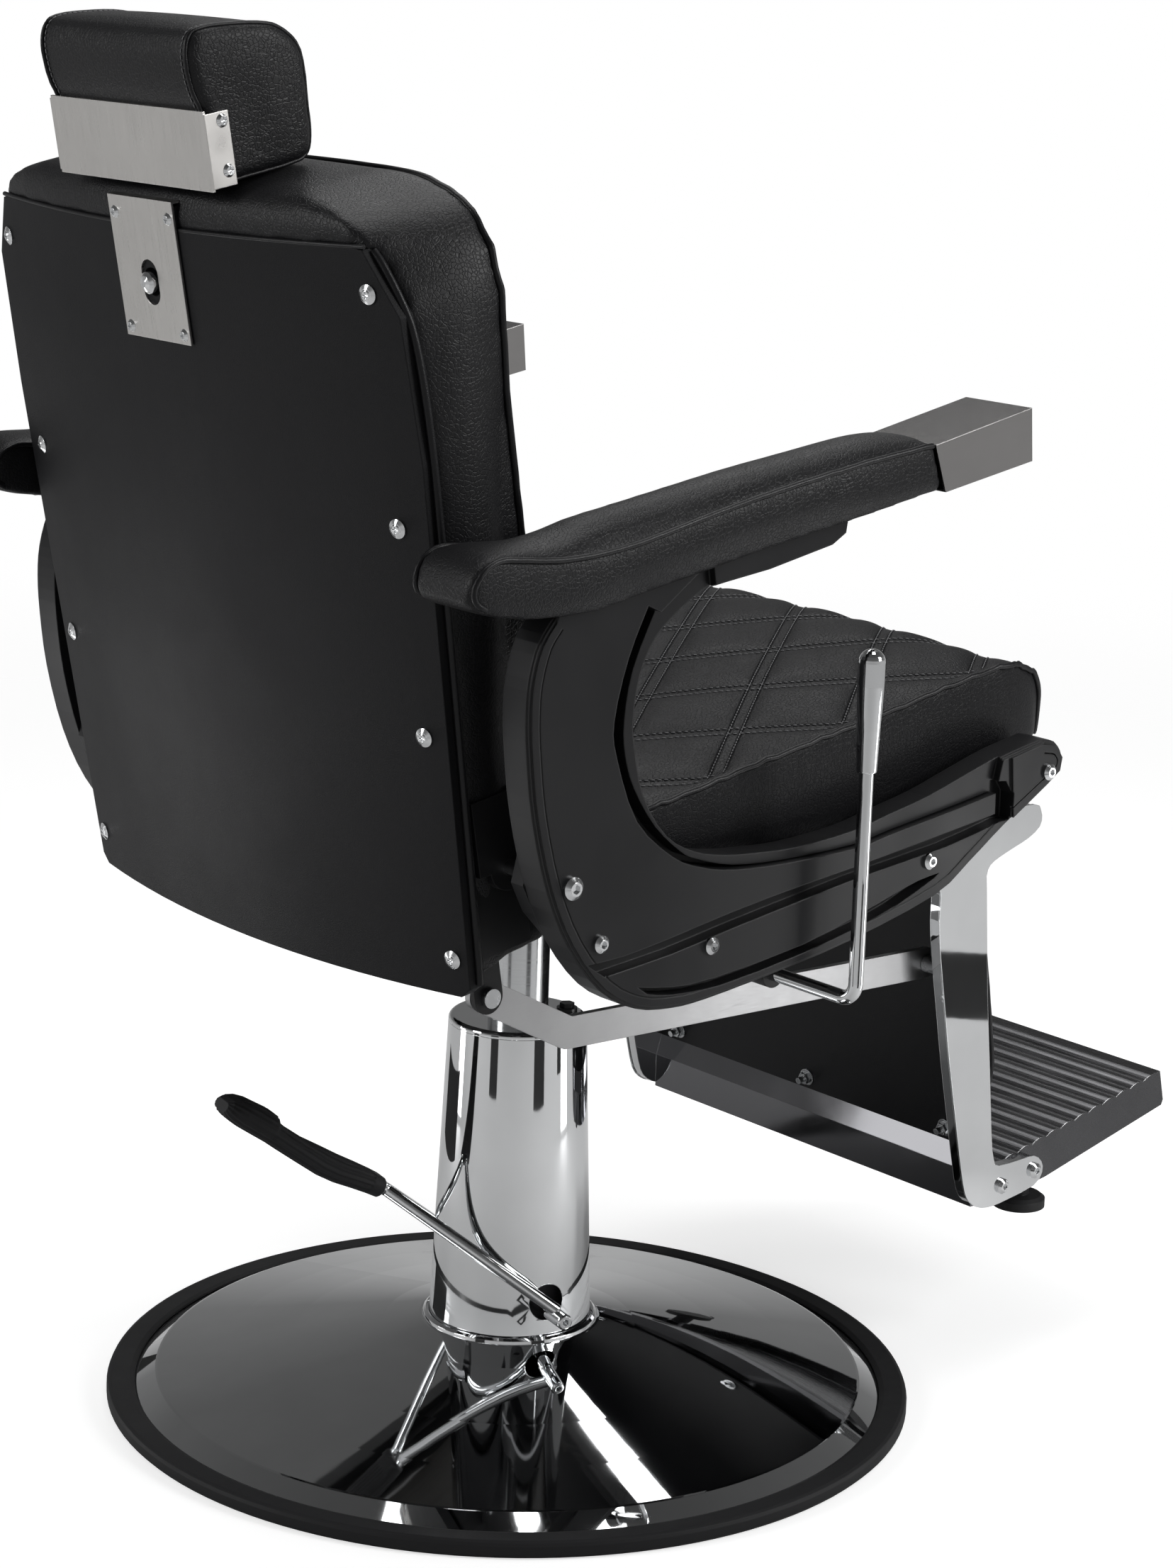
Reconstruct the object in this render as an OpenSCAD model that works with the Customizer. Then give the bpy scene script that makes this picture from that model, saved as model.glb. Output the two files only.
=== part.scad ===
// Hydraulic barber chair, in millimetres.
// Z is up, the column axis is the origin on the floor, the sitter faces -Y.
// The sitter's right side is -X: "right" modules are mirrored left ones.

/* [Base] */
// outer radius of the rubber floor ring
ring_r = 351; // [300:1:400]
// height of the rubber floor ring
ring_h = 14.5; // [12:0.5:25]
// radius where the rubber ring meets the chrome dish
seam_r = 326; // [280:1:345]
// radius of the pressed edge of the dish
bead_r = 307; // [260:1:320]
// height of the pressed edge of the dish
bead_z = 22; // [18:1:35]
// height of the flat neck of the dish
neck_z = 68.5; // [55:0.5:90]
// thickness of the steel floor plate
plate_t = 4; // [3:0.5:8]
// bolt circle radius of the pump foot
foot_pcd_r = 75; // [60:1:85]

/* [Column] */
// outer radius of the sleeve at its foot
sleeve_foot_r = 70.9; // [60:0.1:80]
// outer radius of the sleeve at its top
sleeve_top_r = 59.7; // [50:0.1:70]
// height of the top of the sleeve
sleeve_top_z = 337; // [300:1:380]
// radius of the lifting piston
piston_r = 26; // [20:0.5:32]
// underside of the piston when the chair is down
piston_z0 = 115; // [112:1:140]
// top of the piston when the chair is down
piston_z1 = 495; // [470:1:520]
// radial running clearance of all pins, shafts and the piston
fit = 0.05; // [0.02:0.01:0.1]

/* [Pedal] */
// direction of the pump shaft, seen from above
shaft_a = -13; // [-30:1:30]
// height of the pump shaft
shaft_z = 97; // [90:1:110]
// radius of the pump shaft
shaft_r = 7; // [5:0.5:10]
// half length of the pump shaft
shaft_half = 105; // [90:1:120]
// offset of each pedal rod along the shaft
rod_s = 88.5; // [75:0.5:95]
// radius of the pedal rods
rod_r = 5.5; // [4:0.5:8]
// reach of the cam finger and of the pump plunger
cam_reach = 20; // [15:1:25]

/* [Seat] */
// outer face of the side panels
panel_x = 329; // [300:1:360]
// thickness of the side panels
panel_t = 30; // [20:1:40]
// half width of the seat cushion
seat_hw = 283; // [240:1:284]
// top of the seat crossbars and underside of the seat board
pan_z = 532; // [520:1:560]
// thickness of the seat board
pan_t = 16; // [12:1:20]
// quilting pitch across the seat
quilt_x = 110; // [80:1:140]
// quilting pitch along the seat
quilt_y = 146; // [100:1:180]
// depth of the stitched channels
quilt_d = 7; // [3:0.5:10]
// height of the back pivot
back_pivot_z = 564; // [540:1:580]
// position of the back pivot behind the column
back_pivot_y = 230; // [210:1:240]
// offset from the back pivot to the rear pin of the link, in Y
link_dy = -28; // [-40:1:-20]
// offset from the back pivot to the rear pin of the link, in Z
link_dz = -121; // [-135:1:-110]

/* [Arms] */
// middle of the arms from the chair's centre plane
arm_x = 315; // [290:1:340]
// half width of the arms
arm_hw = 36; // [28:1:45]
// thickness of the arm board
arm_board_t = 12; // [8:1:18]

/* [Back] */
// rear plane of the back at floor level
back_y0 = 173; // [160:1:190]
// lean of the back
lean = 10.29; // [5:0.1:20]
// rise of the crown of the back board
crown_h = 28; // [10:1:40]
// half width at which the crown ends
crown_hw = 252; // [220:1:270]
// thickness of the back board
board_t = 12; // [9:1:18]
// middle height of the release button along the back
button_w = 1007.6; // [990:0.1:1030]
// press of the release button
button_travel = 4; // [2:0.5:6]

/* [Headrest] */
// half width of the headrest
head_hw = 100; // [80:1:130]
// half width of the headrest post
post_hw = 20; // [12:1:30]
// thickness of the headrest post
post_t = 10; // [6:1:14]

/* [Legrest] */
// inner face of the leg castings
cast_x = 211; // [190:1:220]
// thickness of the leg castings
cast_t = 12; // [8:1:20]
// front pin of the link, position in Y
link_front_y = -299; // [-310:1:-290]
// front pin of the link, height
link_front_z = 385; // [370:1:400]
// radial clearance of the open front pivot of the link
open_fit = 0.4; // [0.2:0.05:0.6]
// pitch of the tread ridges
ridge_pitch = 18.7; // [12:0.1:25]
// number of tread ridges
ridge_count = 11; // [6:1:14]

/* [Link and lever] */
// outer face of the link, towards the sitter's right
link_x = 196; // [185:1:205]
// thickness of the link
link_t = 6; // [4:1:10]
// height of the link bar
link_h = 27; // [20:1:36]
// distance of the lever rod from the centre plane
lever_x = 355; // [345:1:380]
// position of the lever shaft in Y
lever_y = -49; // [-60:1:-30]
// height of the lever shaft
lever_z = 434; // [420:1:450]
// radius of the lever rod
lever_r = 6; // [4:0.5:8]

/* [Hidden] */
$fn = 96;
lip_t = 3;
lip_r = seam_r - 26;
flange_z = lip_t + plate_t;
dish_t = 2.2;
flange_top = flange_z + 2.5;
groove_r = seam_r + 12.2;
block_top = shaft_z + 13;
block_r = 48;
hub_z0 = 425;
hub_top = piston_z1 + 9;
rail_x = panel_x - panel_t;
rail_t = 14;
seat_z = pan_z + pan_t;
leg_y = link_front_y - link_dy;
leg_z = link_front_z - link_dz;
ear_y = back_pivot_y + link_dy;
ear_z = back_pivot_z + link_dz;
pivot_n = (back_pivot_y - back_y0) * cos(lean) - back_pivot_z * sin(lean);
pivot_w = (back_pivot_y - back_y0) * sin(lean) + back_pivot_z * cos(lean);
ear_n = (ear_y - back_y0) * cos(lean) - ear_z * sin(lean);
ear_w = (ear_y - back_y0) * sin(lean) + ear_z * cos(lean);
crown_r = (crown_hw * crown_hw + crown_h * crown_h) / (2 * crown_h);
pin_r = 6;
bolt_r = 4;
link_pin_r = 5;
plunger_r = 6;
arm_slope = 0.1758;

// curve and grid helpers

function cubic(a, b, c, d, t) = 0.5 * (2 * b + (c - a) * t + (2 * a - 5 * b + 4 * c - d) * t * t
  + (3 * b - a - 3 * c + d) * t * t * t);
function smooth(p, k) = concat([for (i = [0:len(p) - 2]) for (j = [0:k - 1])
  cubic(p[max(i - 1, 0)], p[i], p[i + 1], p[min(i + 2, len(p) - 1)], j / k)], [p[len(p) - 1]]);
function back(p) = [for (i = [len(p) - 1:-1:0]) p[i]];
function side(a, b) = [b[1] - a[1], a[0] - b[0]] / norm(b - a);
function shift(p, d) = [for (i = [0:len(p) - 1]) p[i] + d * side(p[max(i - 1, 0)], p[min(i + 1, len(p) - 1)])];
function tri(a, b, c, d, f) = f ? [[a, d, b], [b, d, c]] : [[a, c, b], [a, d, c]];

module loft(s, f = [])
{
  n = len(s[0]);
  m = len(s);
  ends = [[for (i = [n - 1:-1:0]) i], [for (i = [0:n - 1]) (m - 1) * n + i]];
  walls = [for (j = [0:m - 2]) for (i = [0:n - 1])
    each tri(j * n + i, (j + 1) * n + i, (j + 1) * n + (i + 1) % n, j * n + (i + 1) % n, len(f) > 0 && f[j][i])];
  polyhedron([for (r = s) for (p = r) p], concat(ends, walls));
}

// extrude a (y, z) outline from x0 over a width w
module yz(x0, w) { translate([x0, 0, 0]) rotate([90, 0, 90]) linear_extrude(w) children(); }
module xcyl(x0, w, y, z, r) { translate([x0, y, z]) rotate([0, 90, 0]) cylinder(h = w, r = r); }
module pair() { children(); mirror([1, 0, 0]) children(); }
module leaned() { translate([0, back_y0, 0]) rotate([-lean, 0, 0]) children(); }
module on_shaft() { rotate([0, 0, shaft_a]) children(); }
module bar(p, q, r)
{
  v = q - p;
  translate(p) rotate([0, acos(v[2] / norm(v)), atan2(v[1], v[0])]) cylinder(h = norm(v), r = r);
}
// button head screw along +X with its head at x
module button_bolt(x, len, r, y, z, head_r, head_h)
{
  difference() {
    union() {
      xcyl(x - len, len, y, z, r);
      translate([x, y, z]) rotate([0, 90, 0]) cylinder(h = head_h * 0.5, r = head_r);
      translate([x + head_h * 0.5, y, z]) rotate([0, 90, 0]) cylinder(h = head_h * 0.5, r1 = head_r, r2 = head_r * 0.6);
    }
    translate([x + head_h - 2.5, y, z]) rotate([0, 90, 0]) cylinder(h = 3, r = head_r * 0.42, $fn = 6);
  }
}

// base

// rubber floor ring, clipped over the rim of plate and dish
module base_ring() {
  color([0.05, 0.05, 0.05]) rotate_extrude() polygon([[lip_r, 0], [ring_r - 3, 0], [ring_r, 3],
    [ring_r, ring_h - 4], [ring_r - 1.2, ring_h - 1.2], [ring_r - 4, ring_h], [seam_r + 5, ring_h - 0.3],
    [seam_r + 1, ring_h - 2], [seam_r + 0.6, ring_h - 3.3], [seam_r + 3, flange_top],
    [groove_r, flange_top], [groove_r, lip_t], [lip_r, lip_t]]);
}

// pressed chrome dish with a raised neck round the sleeve
module base_dish() {
  top = [[66, neck_z], [sleeve_foot_r + 0.3, neck_z], [sleeve_foot_r + 0.3, neck_z + 4],
    [sleeve_foot_r + 2.5, neck_z + 5], [sleeve_foot_r + 5, neck_z + 3], [sleeve_foot_r + 5.6, neck_z],
    [79, neck_z - 0.2], [110, 61.3], [190, 44.9], [250, 33], [bead_r, bead_z], [bead_r + 2, bead_z - 0.6],
    [seam_r, flange_top + 1.5], [seam_r + 3, flange_top], [groove_r - 0.2, flange_top]];
  low = [[groove_r - 0.2, flange_z], [seam_r + 2.4, flange_z], [seam_r - 0.8, flange_top - 0.9],
    [bead_r, bead_z - 2.4], [250, 30.8], [190, 42.7], [110, 59], [78.6, neck_z - dish_t - 0.2],
    [66, neck_z - dish_t]];
  color([0.8, 0.8, 0.82]) rotate_extrude() polygon(concat(top, low));
}

// pressed steel floor plate, its rim raised over the lip of the rubber ring
module base_plate() {
  color([0.25, 0.25, 0.26]) difference() {
    rotate_extrude() polygon([[0, 0], [lip_r - 0.2, 0], [lip_r - 0.2, lip_t], [groove_r - 0.2, lip_t],
      [groove_r - 0.2, flange_z], [lip_r - 3, flange_z], [lip_r - 3 - lip_t, plate_t], [0, plate_t]]);
    for (a = [45:90:315]) rotate([0, 0, a]) translate([foot_pcd_r, 0, 0]) cylinder(h = 20, r = 6.05);
  }
}

// four hexagon bolts of the pump foot
module base_bolts() {
  color([0.6, 0.6, 0.6]) for (a = [45:90:315]) rotate([0, 0, a]) translate([foot_pcd_r, 0, 0]) {
    translate([0, 0, 0.5]) cylinder(h = plate_t + 10, r = 6);
    translate([0, 0, plate_t + 10]) cylinder(h = 7.5, r = 10.4, $fn = 6);
  }
}

// tapered chrome sleeve with clearance holes for the pump shaft
module column_sleeve() {
  color([0.85, 0.85, 0.87]) difference() {
    rotate_extrude() polygon([[sleeve_foot_r, neck_z], [sleeve_top_r, sleeve_top_z],
      [sleeve_top_r - 2, sleeve_top_z], [sleeve_foot_r - 2, neck_z]]);
    on_shaft() xcyl(-120, 240, 0, shaft_z + 6, 16);
  }
}

// pressed cap of the sleeve with a rounded rim
module sleeve_cap() {
  h = 5.5;
  rim = [for (a = [0:15:90]) [sleeve_top_r - 4 + 4 * cos(a), sleeve_top_z + h - 4 + 4 * sin(a)]];
  low = [[piston_r + 2, sleeve_top_z + h], [piston_r + 2, sleeve_top_z + h - 2.5],
    [sleeve_top_r - 4.4, sleeve_top_z + h - 2.5], [sleeve_top_r - 4.4, sleeve_top_z - 7],
    [sleeve_top_r - 2.2, sleeve_top_z - 7], [sleeve_top_r - 2.2, sleeve_top_z], [sleeve_top_r, sleeve_top_z]];
  color([0.8, 0.8, 0.82]) rotate_extrude() polygon(concat(rim, low));
}

// screwed oil filler cap on top of the sleeve cap
module filler_cap() {
  color([0.3, 0.3, 0.3]) translate([-17, -41, sleeve_top_z + 5.5]) {
    cylinder(h = 3, r = 9);
    translate([0, 0, 3]) cylinder(h = 4, r = 6.5, $fn = 6);
  }
}

// cast pump foot with shaft bore, cam pocket and plunger bore
module pump_block() {
  color([0.3, 0.3, 0.31]) difference() {
    union() {
      translate([0, 0, plate_t]) cylinder(h = 10, r = 95);
      translate([0, 0, plate_t]) cylinder(h = block_top - plate_t, r = block_r);
    }
    for (a = [45:90:315]) rotate([0, 0, a]) translate([foot_pcd_r, 0, 0]) cylinder(h = 40, r = 6.4);
    on_shaft() xcyl(-60, 120, 0, shaft_z, shaft_r + fit);
    on_shaft() translate([-7, -10, 80]) cube([14, 40, 26]);
    on_shaft() translate([0, cam_reach, 50]) cylinder(h = 40, r = plunger_r + fit);
  }
}

// honed tube that guides the piston
module pump_cylinder() {
  color([0.55, 0.55, 0.56]) difference() {
    translate([0, 0, block_top]) cylinder(h = 325 - block_top, r = 36);
    translate([0, 0, block_top - 1]) cylinder(h = 240, r = piston_r + fit);
  }
}

// gland nut that closes the tube round the piston
module cylinder_gland() {
  color([0.2, 0.2, 0.2]) difference() {
    translate([0, 0, 325]) cylinder(h = sleeve_top_z + 1 - 325, r = 44);
    translate([0, 0, 324]) cylinder(h = 20, r = piston_r + fit);
  }
}

// plunger pressed down by the cam finger
module pump_plunger() {
  top = shaft_z - 6.3;
  color([0.6, 0.6, 0.6]) on_shaft() translate([0, cam_reach, 60]) cylinder(h = top - 60, r = plunger_r);
}

// pump shaft with its cam finger and hexagon sockets in both ends
module pump_shaft() {
  color([0.75, 0.75, 0.76]) on_shaft() difference() {
    union() {
      xcyl(1.5 - shaft_half, 2 * shaft_half - 3, 0, shaft_z, shaft_r);
      pair() translate([shaft_half - 1.5, 0, shaft_z]) rotate([0, 90, 0]) cylinder(h = 1.5, r1 = shaft_r, r2 = shaft_r - 1.5);
      translate([-6, 0, shaft_z - 5]) cube([12, cam_reach, 10]);
      xcyl(-6, 12, cam_reach, shaft_z, 6);
    }
    pair() xcyl(shaft_half - 6, 7, 0, shaft_z, 2.9, $fn = 6);
  }
}

module pedal_rod() {
  a = [rod_s, 0, shaft_z + 5];
  b = [8, 126, 203];
  c = [7.5, 190, 241];
  color([0.8, 0.8, 0.82]) on_shaft() difference() {
    union() {
      bar(a, b, rod_r);
      translate(b) sphere(r = rod_r + 0.2);
      bar(b, c, rod_r);
    }
    xcyl(-150, 300, 0, shaft_z, shaft_r);
  }
}
// two welded rods from the shaft ends to the foot pad
module pedal_rod_left() { pedal_rod(); }
module pedal_rod_right() {
  rotate([0, 0, shaft_a]) mirror([1, 0, 0]) rotate([0, 0, -shaft_a]) pedal_rod();
}

// point at the share u of the way round a level oval of half width w and half height h
function oval(w, h, u) = let (a = 2 * (w - h), b = PI * h, s = u * 2 * (a + b))
  s < a ? [a / 2 - s, h] : s < a + b ? [-a / 2 - h * sin((s - a) / h * 180 / PI), h * cos((s - a) / h * 180 / PI)]
  : s < 2 * a + b ? [s - 1.5 * a - b, -h]
  : [a / 2 + h * sin((s - 2 * a - b) / h * 180 / PI), -h * cos((s - 2 * a - b) / h * 180 / PI)];
// foot pad from the shaft outwards: place along it, top, bottom, half width, depth of the flutes
pad_rows = [[0, 7, -8.5, 15, 0], [1.5, 8.2, -9.7, 16.2, 0], [12, 8.4, -10.4, 16.6, 0], [14, 8.4, -10.6, 16.8, 0.9],
  [27, 8.2, -12, 17, 0.9], [45, 7.6, -14.4, 17.2, 0.9], [63, 7.6, -14.8, 17.4, 0.9], [85, 7.2, -12.7, 17.6, 0.9],
  [108, 9.4, -10.4, 18, 0.9], [117, 11.4, -9.4, 18.2, 0.9], [121, 15.6, -9, 18.4, 0.9], [128, 16.6, -8.6, 18.6, 0.9],
  [151, 16.4, -7.2, 18.8, 0.9], [160, 14.6, -5.8, 18, 0.9], [166, 11.6, -4, 16, 0.9], [170, 7.6, -1.4, 12.6, 0.5]];

// fluted rubber foot pad pushed over the rods, with a raised end that stops the shoe
module pedal_pad() {
  p = [0, 130, 205.3];
  q = [0, 276, 293];
  rings = [for (r = pad_rows) [for (i = [0:79]) let (d = r[4] * (1 + cos(i * 90)) / 2,
    o = oval(r[3] - d, (r[1] - r[2]) / 2 - d, i / 80)) [o[0], -o[1] - (r[1] + r[2]) / 2, r[0]]]];
  color([0.06, 0.06, 0.06]) on_shaft() difference() {
    translate(p) rotate([atan2(q[2] - p[2], q[1] - p[1]) - 90, 0, 0]) loft(rings);
    pair() bar([8, 110, 193.5], [7.5, 191, 241.6], rod_r + 0.1);
  }
}

// piston and swivel

// lifting piston of the hydraulic pump
module piston() {
  color([0.75, 0.76, 0.78]) union() {
    translate([0, 0, piston_z0]) cylinder(h = piston_z1 - piston_z0 - 3, r = piston_r);
    translate([0, 0, piston_z1 - 3]) cylinder(h = 3, r1 = piston_r, r2 = piston_r - 3);
  }
}

// cast hub that turns on the piston
module swivel_hub() {
  color([0.12, 0.12, 0.12]) difference() {
    union() {
      translate([0, 0, hub_z0]) cylinder(h = hub_top - hub_z0, r = 38);
      for (a = [45:90:315]) rotate([0, 0, a]) translate([30, -4, hub_z0 + 25]) cube([60, 8, hub_top - hub_z0 - 25]);
    }
    translate([0, 0, hub_z0 - 1]) cylinder(h = piston_z1 - hub_z0 + 1.1, r = piston_r + fit);
    for (a = [45:90:315]) rotate([0, 0, a]) translate([62, 0, hub_z0]) rotate([0, 40, 0]) cube([60, 20, 60], center = true);
  }
}

// seat

// side rail of the seat frame, cut from flat bar
rail = [[252, 562], [247, 582], [230, 590], [205, 584], [150, 545], [60, 536], [-100, 536], [-200, 566],
  [-262, 596], [-288, 604], [-302, 598], [-304, 584], [-292, 574], [-244, 552], [-204, 526], [-164, 503],
  [86, 474], [130, 474], [205, 500], [240, 538]];
panel_bolt_at = [[200, 516], [86, 496], [-153, 528], [-288, 585]];

// welded seat frame: hub plate, two crossbars, two rails, two leg lugs
module seat_frame() {
  color([0.1, 0.1, 0.1]) difference() {
    union() {
      translate([-120, -230, hub_top]) cube([240, 350, pan_z - 20 - hub_top]);
      translate([-rail_x + rail_t, -225, pan_z - 20]) cube([2 * (rail_x - rail_t), 30, 20]);
      translate([-rail_x + rail_t, 85, pan_z - 20]) cube([2 * (rail_x - rail_t), 30, 20]);
      pair() yz(rail_x - rail_t, rail_t) polygon(rail);
      pair() xcyl(cast_x + cast_t + 3, 8, leg_y, leg_z, 15);
      pair() yz(cast_x + cast_t + 3, 8) polygon([[leg_y, leg_z - 15], [leg_y + 9, leg_z - 12], [-215, pan_z - 18],
        [-215, pan_z], [-240, pan_z], [leg_y, leg_z + 15]]);
    }
    pair() for (p = panel_bolt_at) xcyl(rail_x - rail_t + 1, 60, p[0], p[1], bolt_r + fit);
    pair() xcyl(rail_x - rail_t - 1, 60, back_pivot_y, back_pivot_z, pin_r + fit);
    pair() xcyl(cast_x, 60, leg_y, leg_z, pin_r + fit);
  }
}

// plywood seat board on the crossbars
module seat_board() {
  color([0.5, 0.38, 0.25]) translate([-270, -245, pan_z]) cube([540, 370, pan_t]);
}

function quilt_near(v) = max(0, 1 - abs(v - 4 * round(v / 4)));
function quilt(x, y) = max(quilt_near((y + 180) * 4 / quilt_y - x * 4 / quilt_x),
  quilt_near((y + 180) * 4 / quilt_y + x * 4 / quilt_x));
// y, half width, side height, crown, underside of each section of the seat cushion
seat_end = [[128, 274, 586, 0, 554], [123, 281, 594, 2, 549]];
seat_front = [[-289.5, 283, 667, 4, 566], [-313, 281, 663, 2, 577], [-332, 276, 652, 1, 586],
  [-345, 266, 632, 0, 592], [-352, 252, 611, 0, 598]];
seat_rows = concat(seat_end, [for (j = [8:-1:-2]) [-180 + j * quilt_y / 4, seat_hw,
  601 + 0.175 * (107 + 180 - j * quilt_y / 4), 14 - 8 * abs(j - 3) / 5, 548 + (j == -2 ? 2 : 0)]], seat_front);
function seat_ring(r) = concat([[4 - r[1], r[0], r[4]], [-r[1] - 0.6, r[0], r[4] + 0.3 * (r[2] - r[4])],
  [-r[1] - 0.8, r[0], r[4] + 0.75 * (r[2] - r[4])], [-r[1], r[0], r[2]]],
  [for (i = [-10:10]) [i * r[1] / seat_hw * quilt_x / 4, r[0], r[2] + 2 + r[3] * (1 - i * i / 106)
    - quilt_d * (r[2] - r[4] > 45 ? 1 : 0) * quilt(i * quilt_x / 4, r[0])]],
  [[r[1], r[0], r[2]], [r[1] + 0.8, r[0], r[4] + 0.75 * (r[2] - r[4])],
  [r[1] + 0.6, r[0], r[4] + 0.3 * (r[2] - r[4])], [r[1] - 4, r[0], r[4]]]);
function seat_flip(j, i) = ((i - 14) + (10 - j)) % 4 == 0;
// upholstered seat cushion, crowned, with stitched diamond channels
module seat_cushion() {
  color([0.09, 0.09, 0.09]) loft([for (r = seat_rows) seat_ring(r)],
    [for (j = [0:len(seat_rows) - 2]) [for (i = [0:28]) seat_flip(j, i)]]);
}

// outline of the C-shaped side panel and its opening, as (y, z)
panel_out = smooth([[254, 768], [266, 752], [274, 726], [276, 700], [274, 668], [267, 620], [251, 563], [228, 516],
  [195, 477], [159, 457], [122, 451], [85, 452], [10, 461], [-68, 473], [-164, 496], [-204, 519], [-244, 545],
  [-290, 571], [-306, 582], [-309, 596], [-300, 608], [-284, 612]], 3);
panel_in = smooth([[-284, 612], [-241, 604], [-201, 593], [-155, 580], [-110, 571], [-69, 563], [-8, 559],
  [37, 561], [68, 564], [99, 571], [130, 588], [155, 622], [166, 662], [168, 685], [163, 716], [149, 743],
  [124, 763], [99, 777]], 3);
panel_horn = [[40, 786], [-26, 799], [-40, 807], [-42, 819.5], [0, 812.2], [123, 790.6], [175, 781.6],
  [227, 772], [250, 771.2]];
slot_out = smooth([[-229, 574], [-184, 567], [-111, 557], [-70, 551], [6, 550], [63, 553], [98, 560], [129, 573],
  [167, 606], [189, 657], [193, 686], [181, 732], [163, 770]], 3);
slot_in = smooth([[-229, 575], [-184, 568], [-111, 558], [-70, 552], [6, 551], [60, 555], [97, 565], [114, 573],
  [142, 597], [165, 630], [175, 657], [177, 684], [170, 722], [150, 764]], 3);
channel_up = smooth([[212, 501], [177, 502], [126, 509], [66, 519], [-9, 529], [-73, 536], [-204, 553],
  [-230, 557]], 2);
channel_low = smooth([[-236, 549], [-174, 537], [-73, 526], [-10, 517], [65, 506], [126, 496], [194, 489]], 2);
crescent_up = smooth([[160, 475], [124, 469], [81, 469], [-13, 480], [-75, 495], [-115, 506], [-142, 513],
  [-166, 516]], 2);
crescent_low = smooth([[-160, 512], [-116, 495], [-76, 485], [-13, 473], [75, 462], [124, 463], [150, 468]], 2);

// screws into the arms: y, seat of the head, end of the thread
arm_screw_at = [[-20, 799, 822], [70, 782, 806]];

// cast side panel: rolled edge, deep slot, recessed lip, two channels, engraved line, front lug
module side_panel() {
  inner = rail_x;
  color([0.05, 0.05, 0.05]) difference() {
    union() {
      yz(inner, panel_t - 4) polygon(concat(panel_out, panel_in, panel_horn));
      yz(panel_x - 4, 2.2) polygon(concat(shift(panel_out, 1.2), shift(panel_in, 0.8), panel_horn));
      yz(panel_x - 1.8, 1.8) polygon(concat(shift(panel_out, 3.2), shift(panel_in, 1.8), panel_horn));
      yz(panel_x - 1, 3.5) polygon([[-244, 602], [-280, 609], [-297, 606], [-305, 595], [-303, 584], [-288, 574],
        [-249, 551]]);
    }
    yz(panel_x - 24, 30) polygon(concat(slot_out, back(slot_in)));
    yz(panel_x - 7, 10) polygon(concat(slot_in, [[99, 800], [80, 700], [-100, 620], [-240, 620]]));
    yz(panel_x - 13, 20) polygon(concat(channel_up, channel_low));
    yz(panel_x - 13, 20) polygon([[-228, 584], [-240, 583], [-248, 572], [-248, 549], [-229, 549]]);
    yz(panel_x - 13, 20) polygon(concat(crescent_up, crescent_low));
    yz(panel_x - 1, 5) polygon(concat(shift(panel_out, 10), back(shift(panel_out, 11.2))));
    for (p = panel_bolt_at) xcyl(inner - 1, 60, p[0], p[1], bolt_r + fit);
    xcyl(inner - 1, 60, back_pivot_y, back_pivot_z, pin_r + fit);
    for (p = arm_screw_at) translate([arm_x, p[0], p[1] - 20]) cylinder(h = 20, r = 8.5);
    for (p = arm_screw_at) translate([arm_x, p[0], p[1] - 20]) cylinder(h = 60, r = bolt_r + fit);
  }
}
module side_panel_left() { side_panel(); }
module side_panel_right() { mirror([1, 0, 0]) side_panel(); }

// button head bolts that hold each panel to its rail
module panel_bolts() {
  color([0.8, 0.8, 0.82]) pair() for (p = panel_bolt_at)
    button_bolt(panel_x + (p[0] < -250 ? 2.5 : 0), 42, bolt_r, p[0], p[1], 7, 5);
}

// y, piping height, underside, half width, crown and forward skew of the arm pad sections
arm_rows = [[351, 824, 808, 26, 1, 0], [349, 834, 797, 32, 3, 0], [343, 841, 787, 35, 5, 0],
  [330, 845, 780, 36, 7, 0], [305, 845, 774, 36, 9, 0], [277, 841, 771.6, 36, 10, 0], [230, 840.5, 772.6, 36, 10, 0],
  [180, 846, 781.6, 36, 10, 0.05], [127, 852, 791.5, 36, 10, 0.1], [67, 857, 802.6, 36, 9, 0.16],
  [7, 862.5, 813.6, 36, 8, 0.23], [-53, 867.5, 824.4, 36, 7, 0.3], [-111.6, 873, 834.8, 36, 5, 0.35]];
function arm_ring(r) = [for (p = [[-0.93, 0, 0], [-1, 0.25, 0], [-1, 0.85, 0], [-0.97, 1, 0], [-0.7, 1, 0.6],
  [-0.35, 1, 0.92], [0, 1, 1], [0.35, 1, 0.92], [0.7, 1, 0.6], [0.97, 1, 0], [1, 0.85, 0], [1, 0.25, 0], [0.93, 0, 0]])
  let (z = r[2] + p[1] * (r[1] - r[2]) + p[2] * r[4]) [arm_x + p[0] * r[3], r[0] - r[5] * (r[1] - z), z]];
arm_board_edge = [[300, 776], [228, 774.6], [123, 793.2], [-216, 852.8], [-216, 852.8 + arm_board_t],
  [123, 793.2 + arm_board_t], [228, 774.6 + arm_board_t], [300, 776 + arm_board_t]];
// upholstered arm pad over a wooden core
module arm_pad() {
  color([0.08, 0.08, 0.08]) difference() {
    loft([for (r = arm_rows) arm_ring(r)]);
    yz(arm_x - 24.2, 48.4) polygon(concat([for (i = [0:3]) arm_board_edge[i] + [i == 0 ? 0.2 : 0, -0.2]],
      [for (i = [4:7]) arm_board_edge[i] + [i == 7 ? 0.2 : 0, 0.2]]));
    for (y = [-20, 70]) translate([arm_x, y, 770]) cylinder(h = 60, r = 6, $fn = 12);
  }
}
module arm_pad_left() { arm_pad(); }
module arm_pad_right() { mirror([1, 0, 0]) arm_pad(); }

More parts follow.
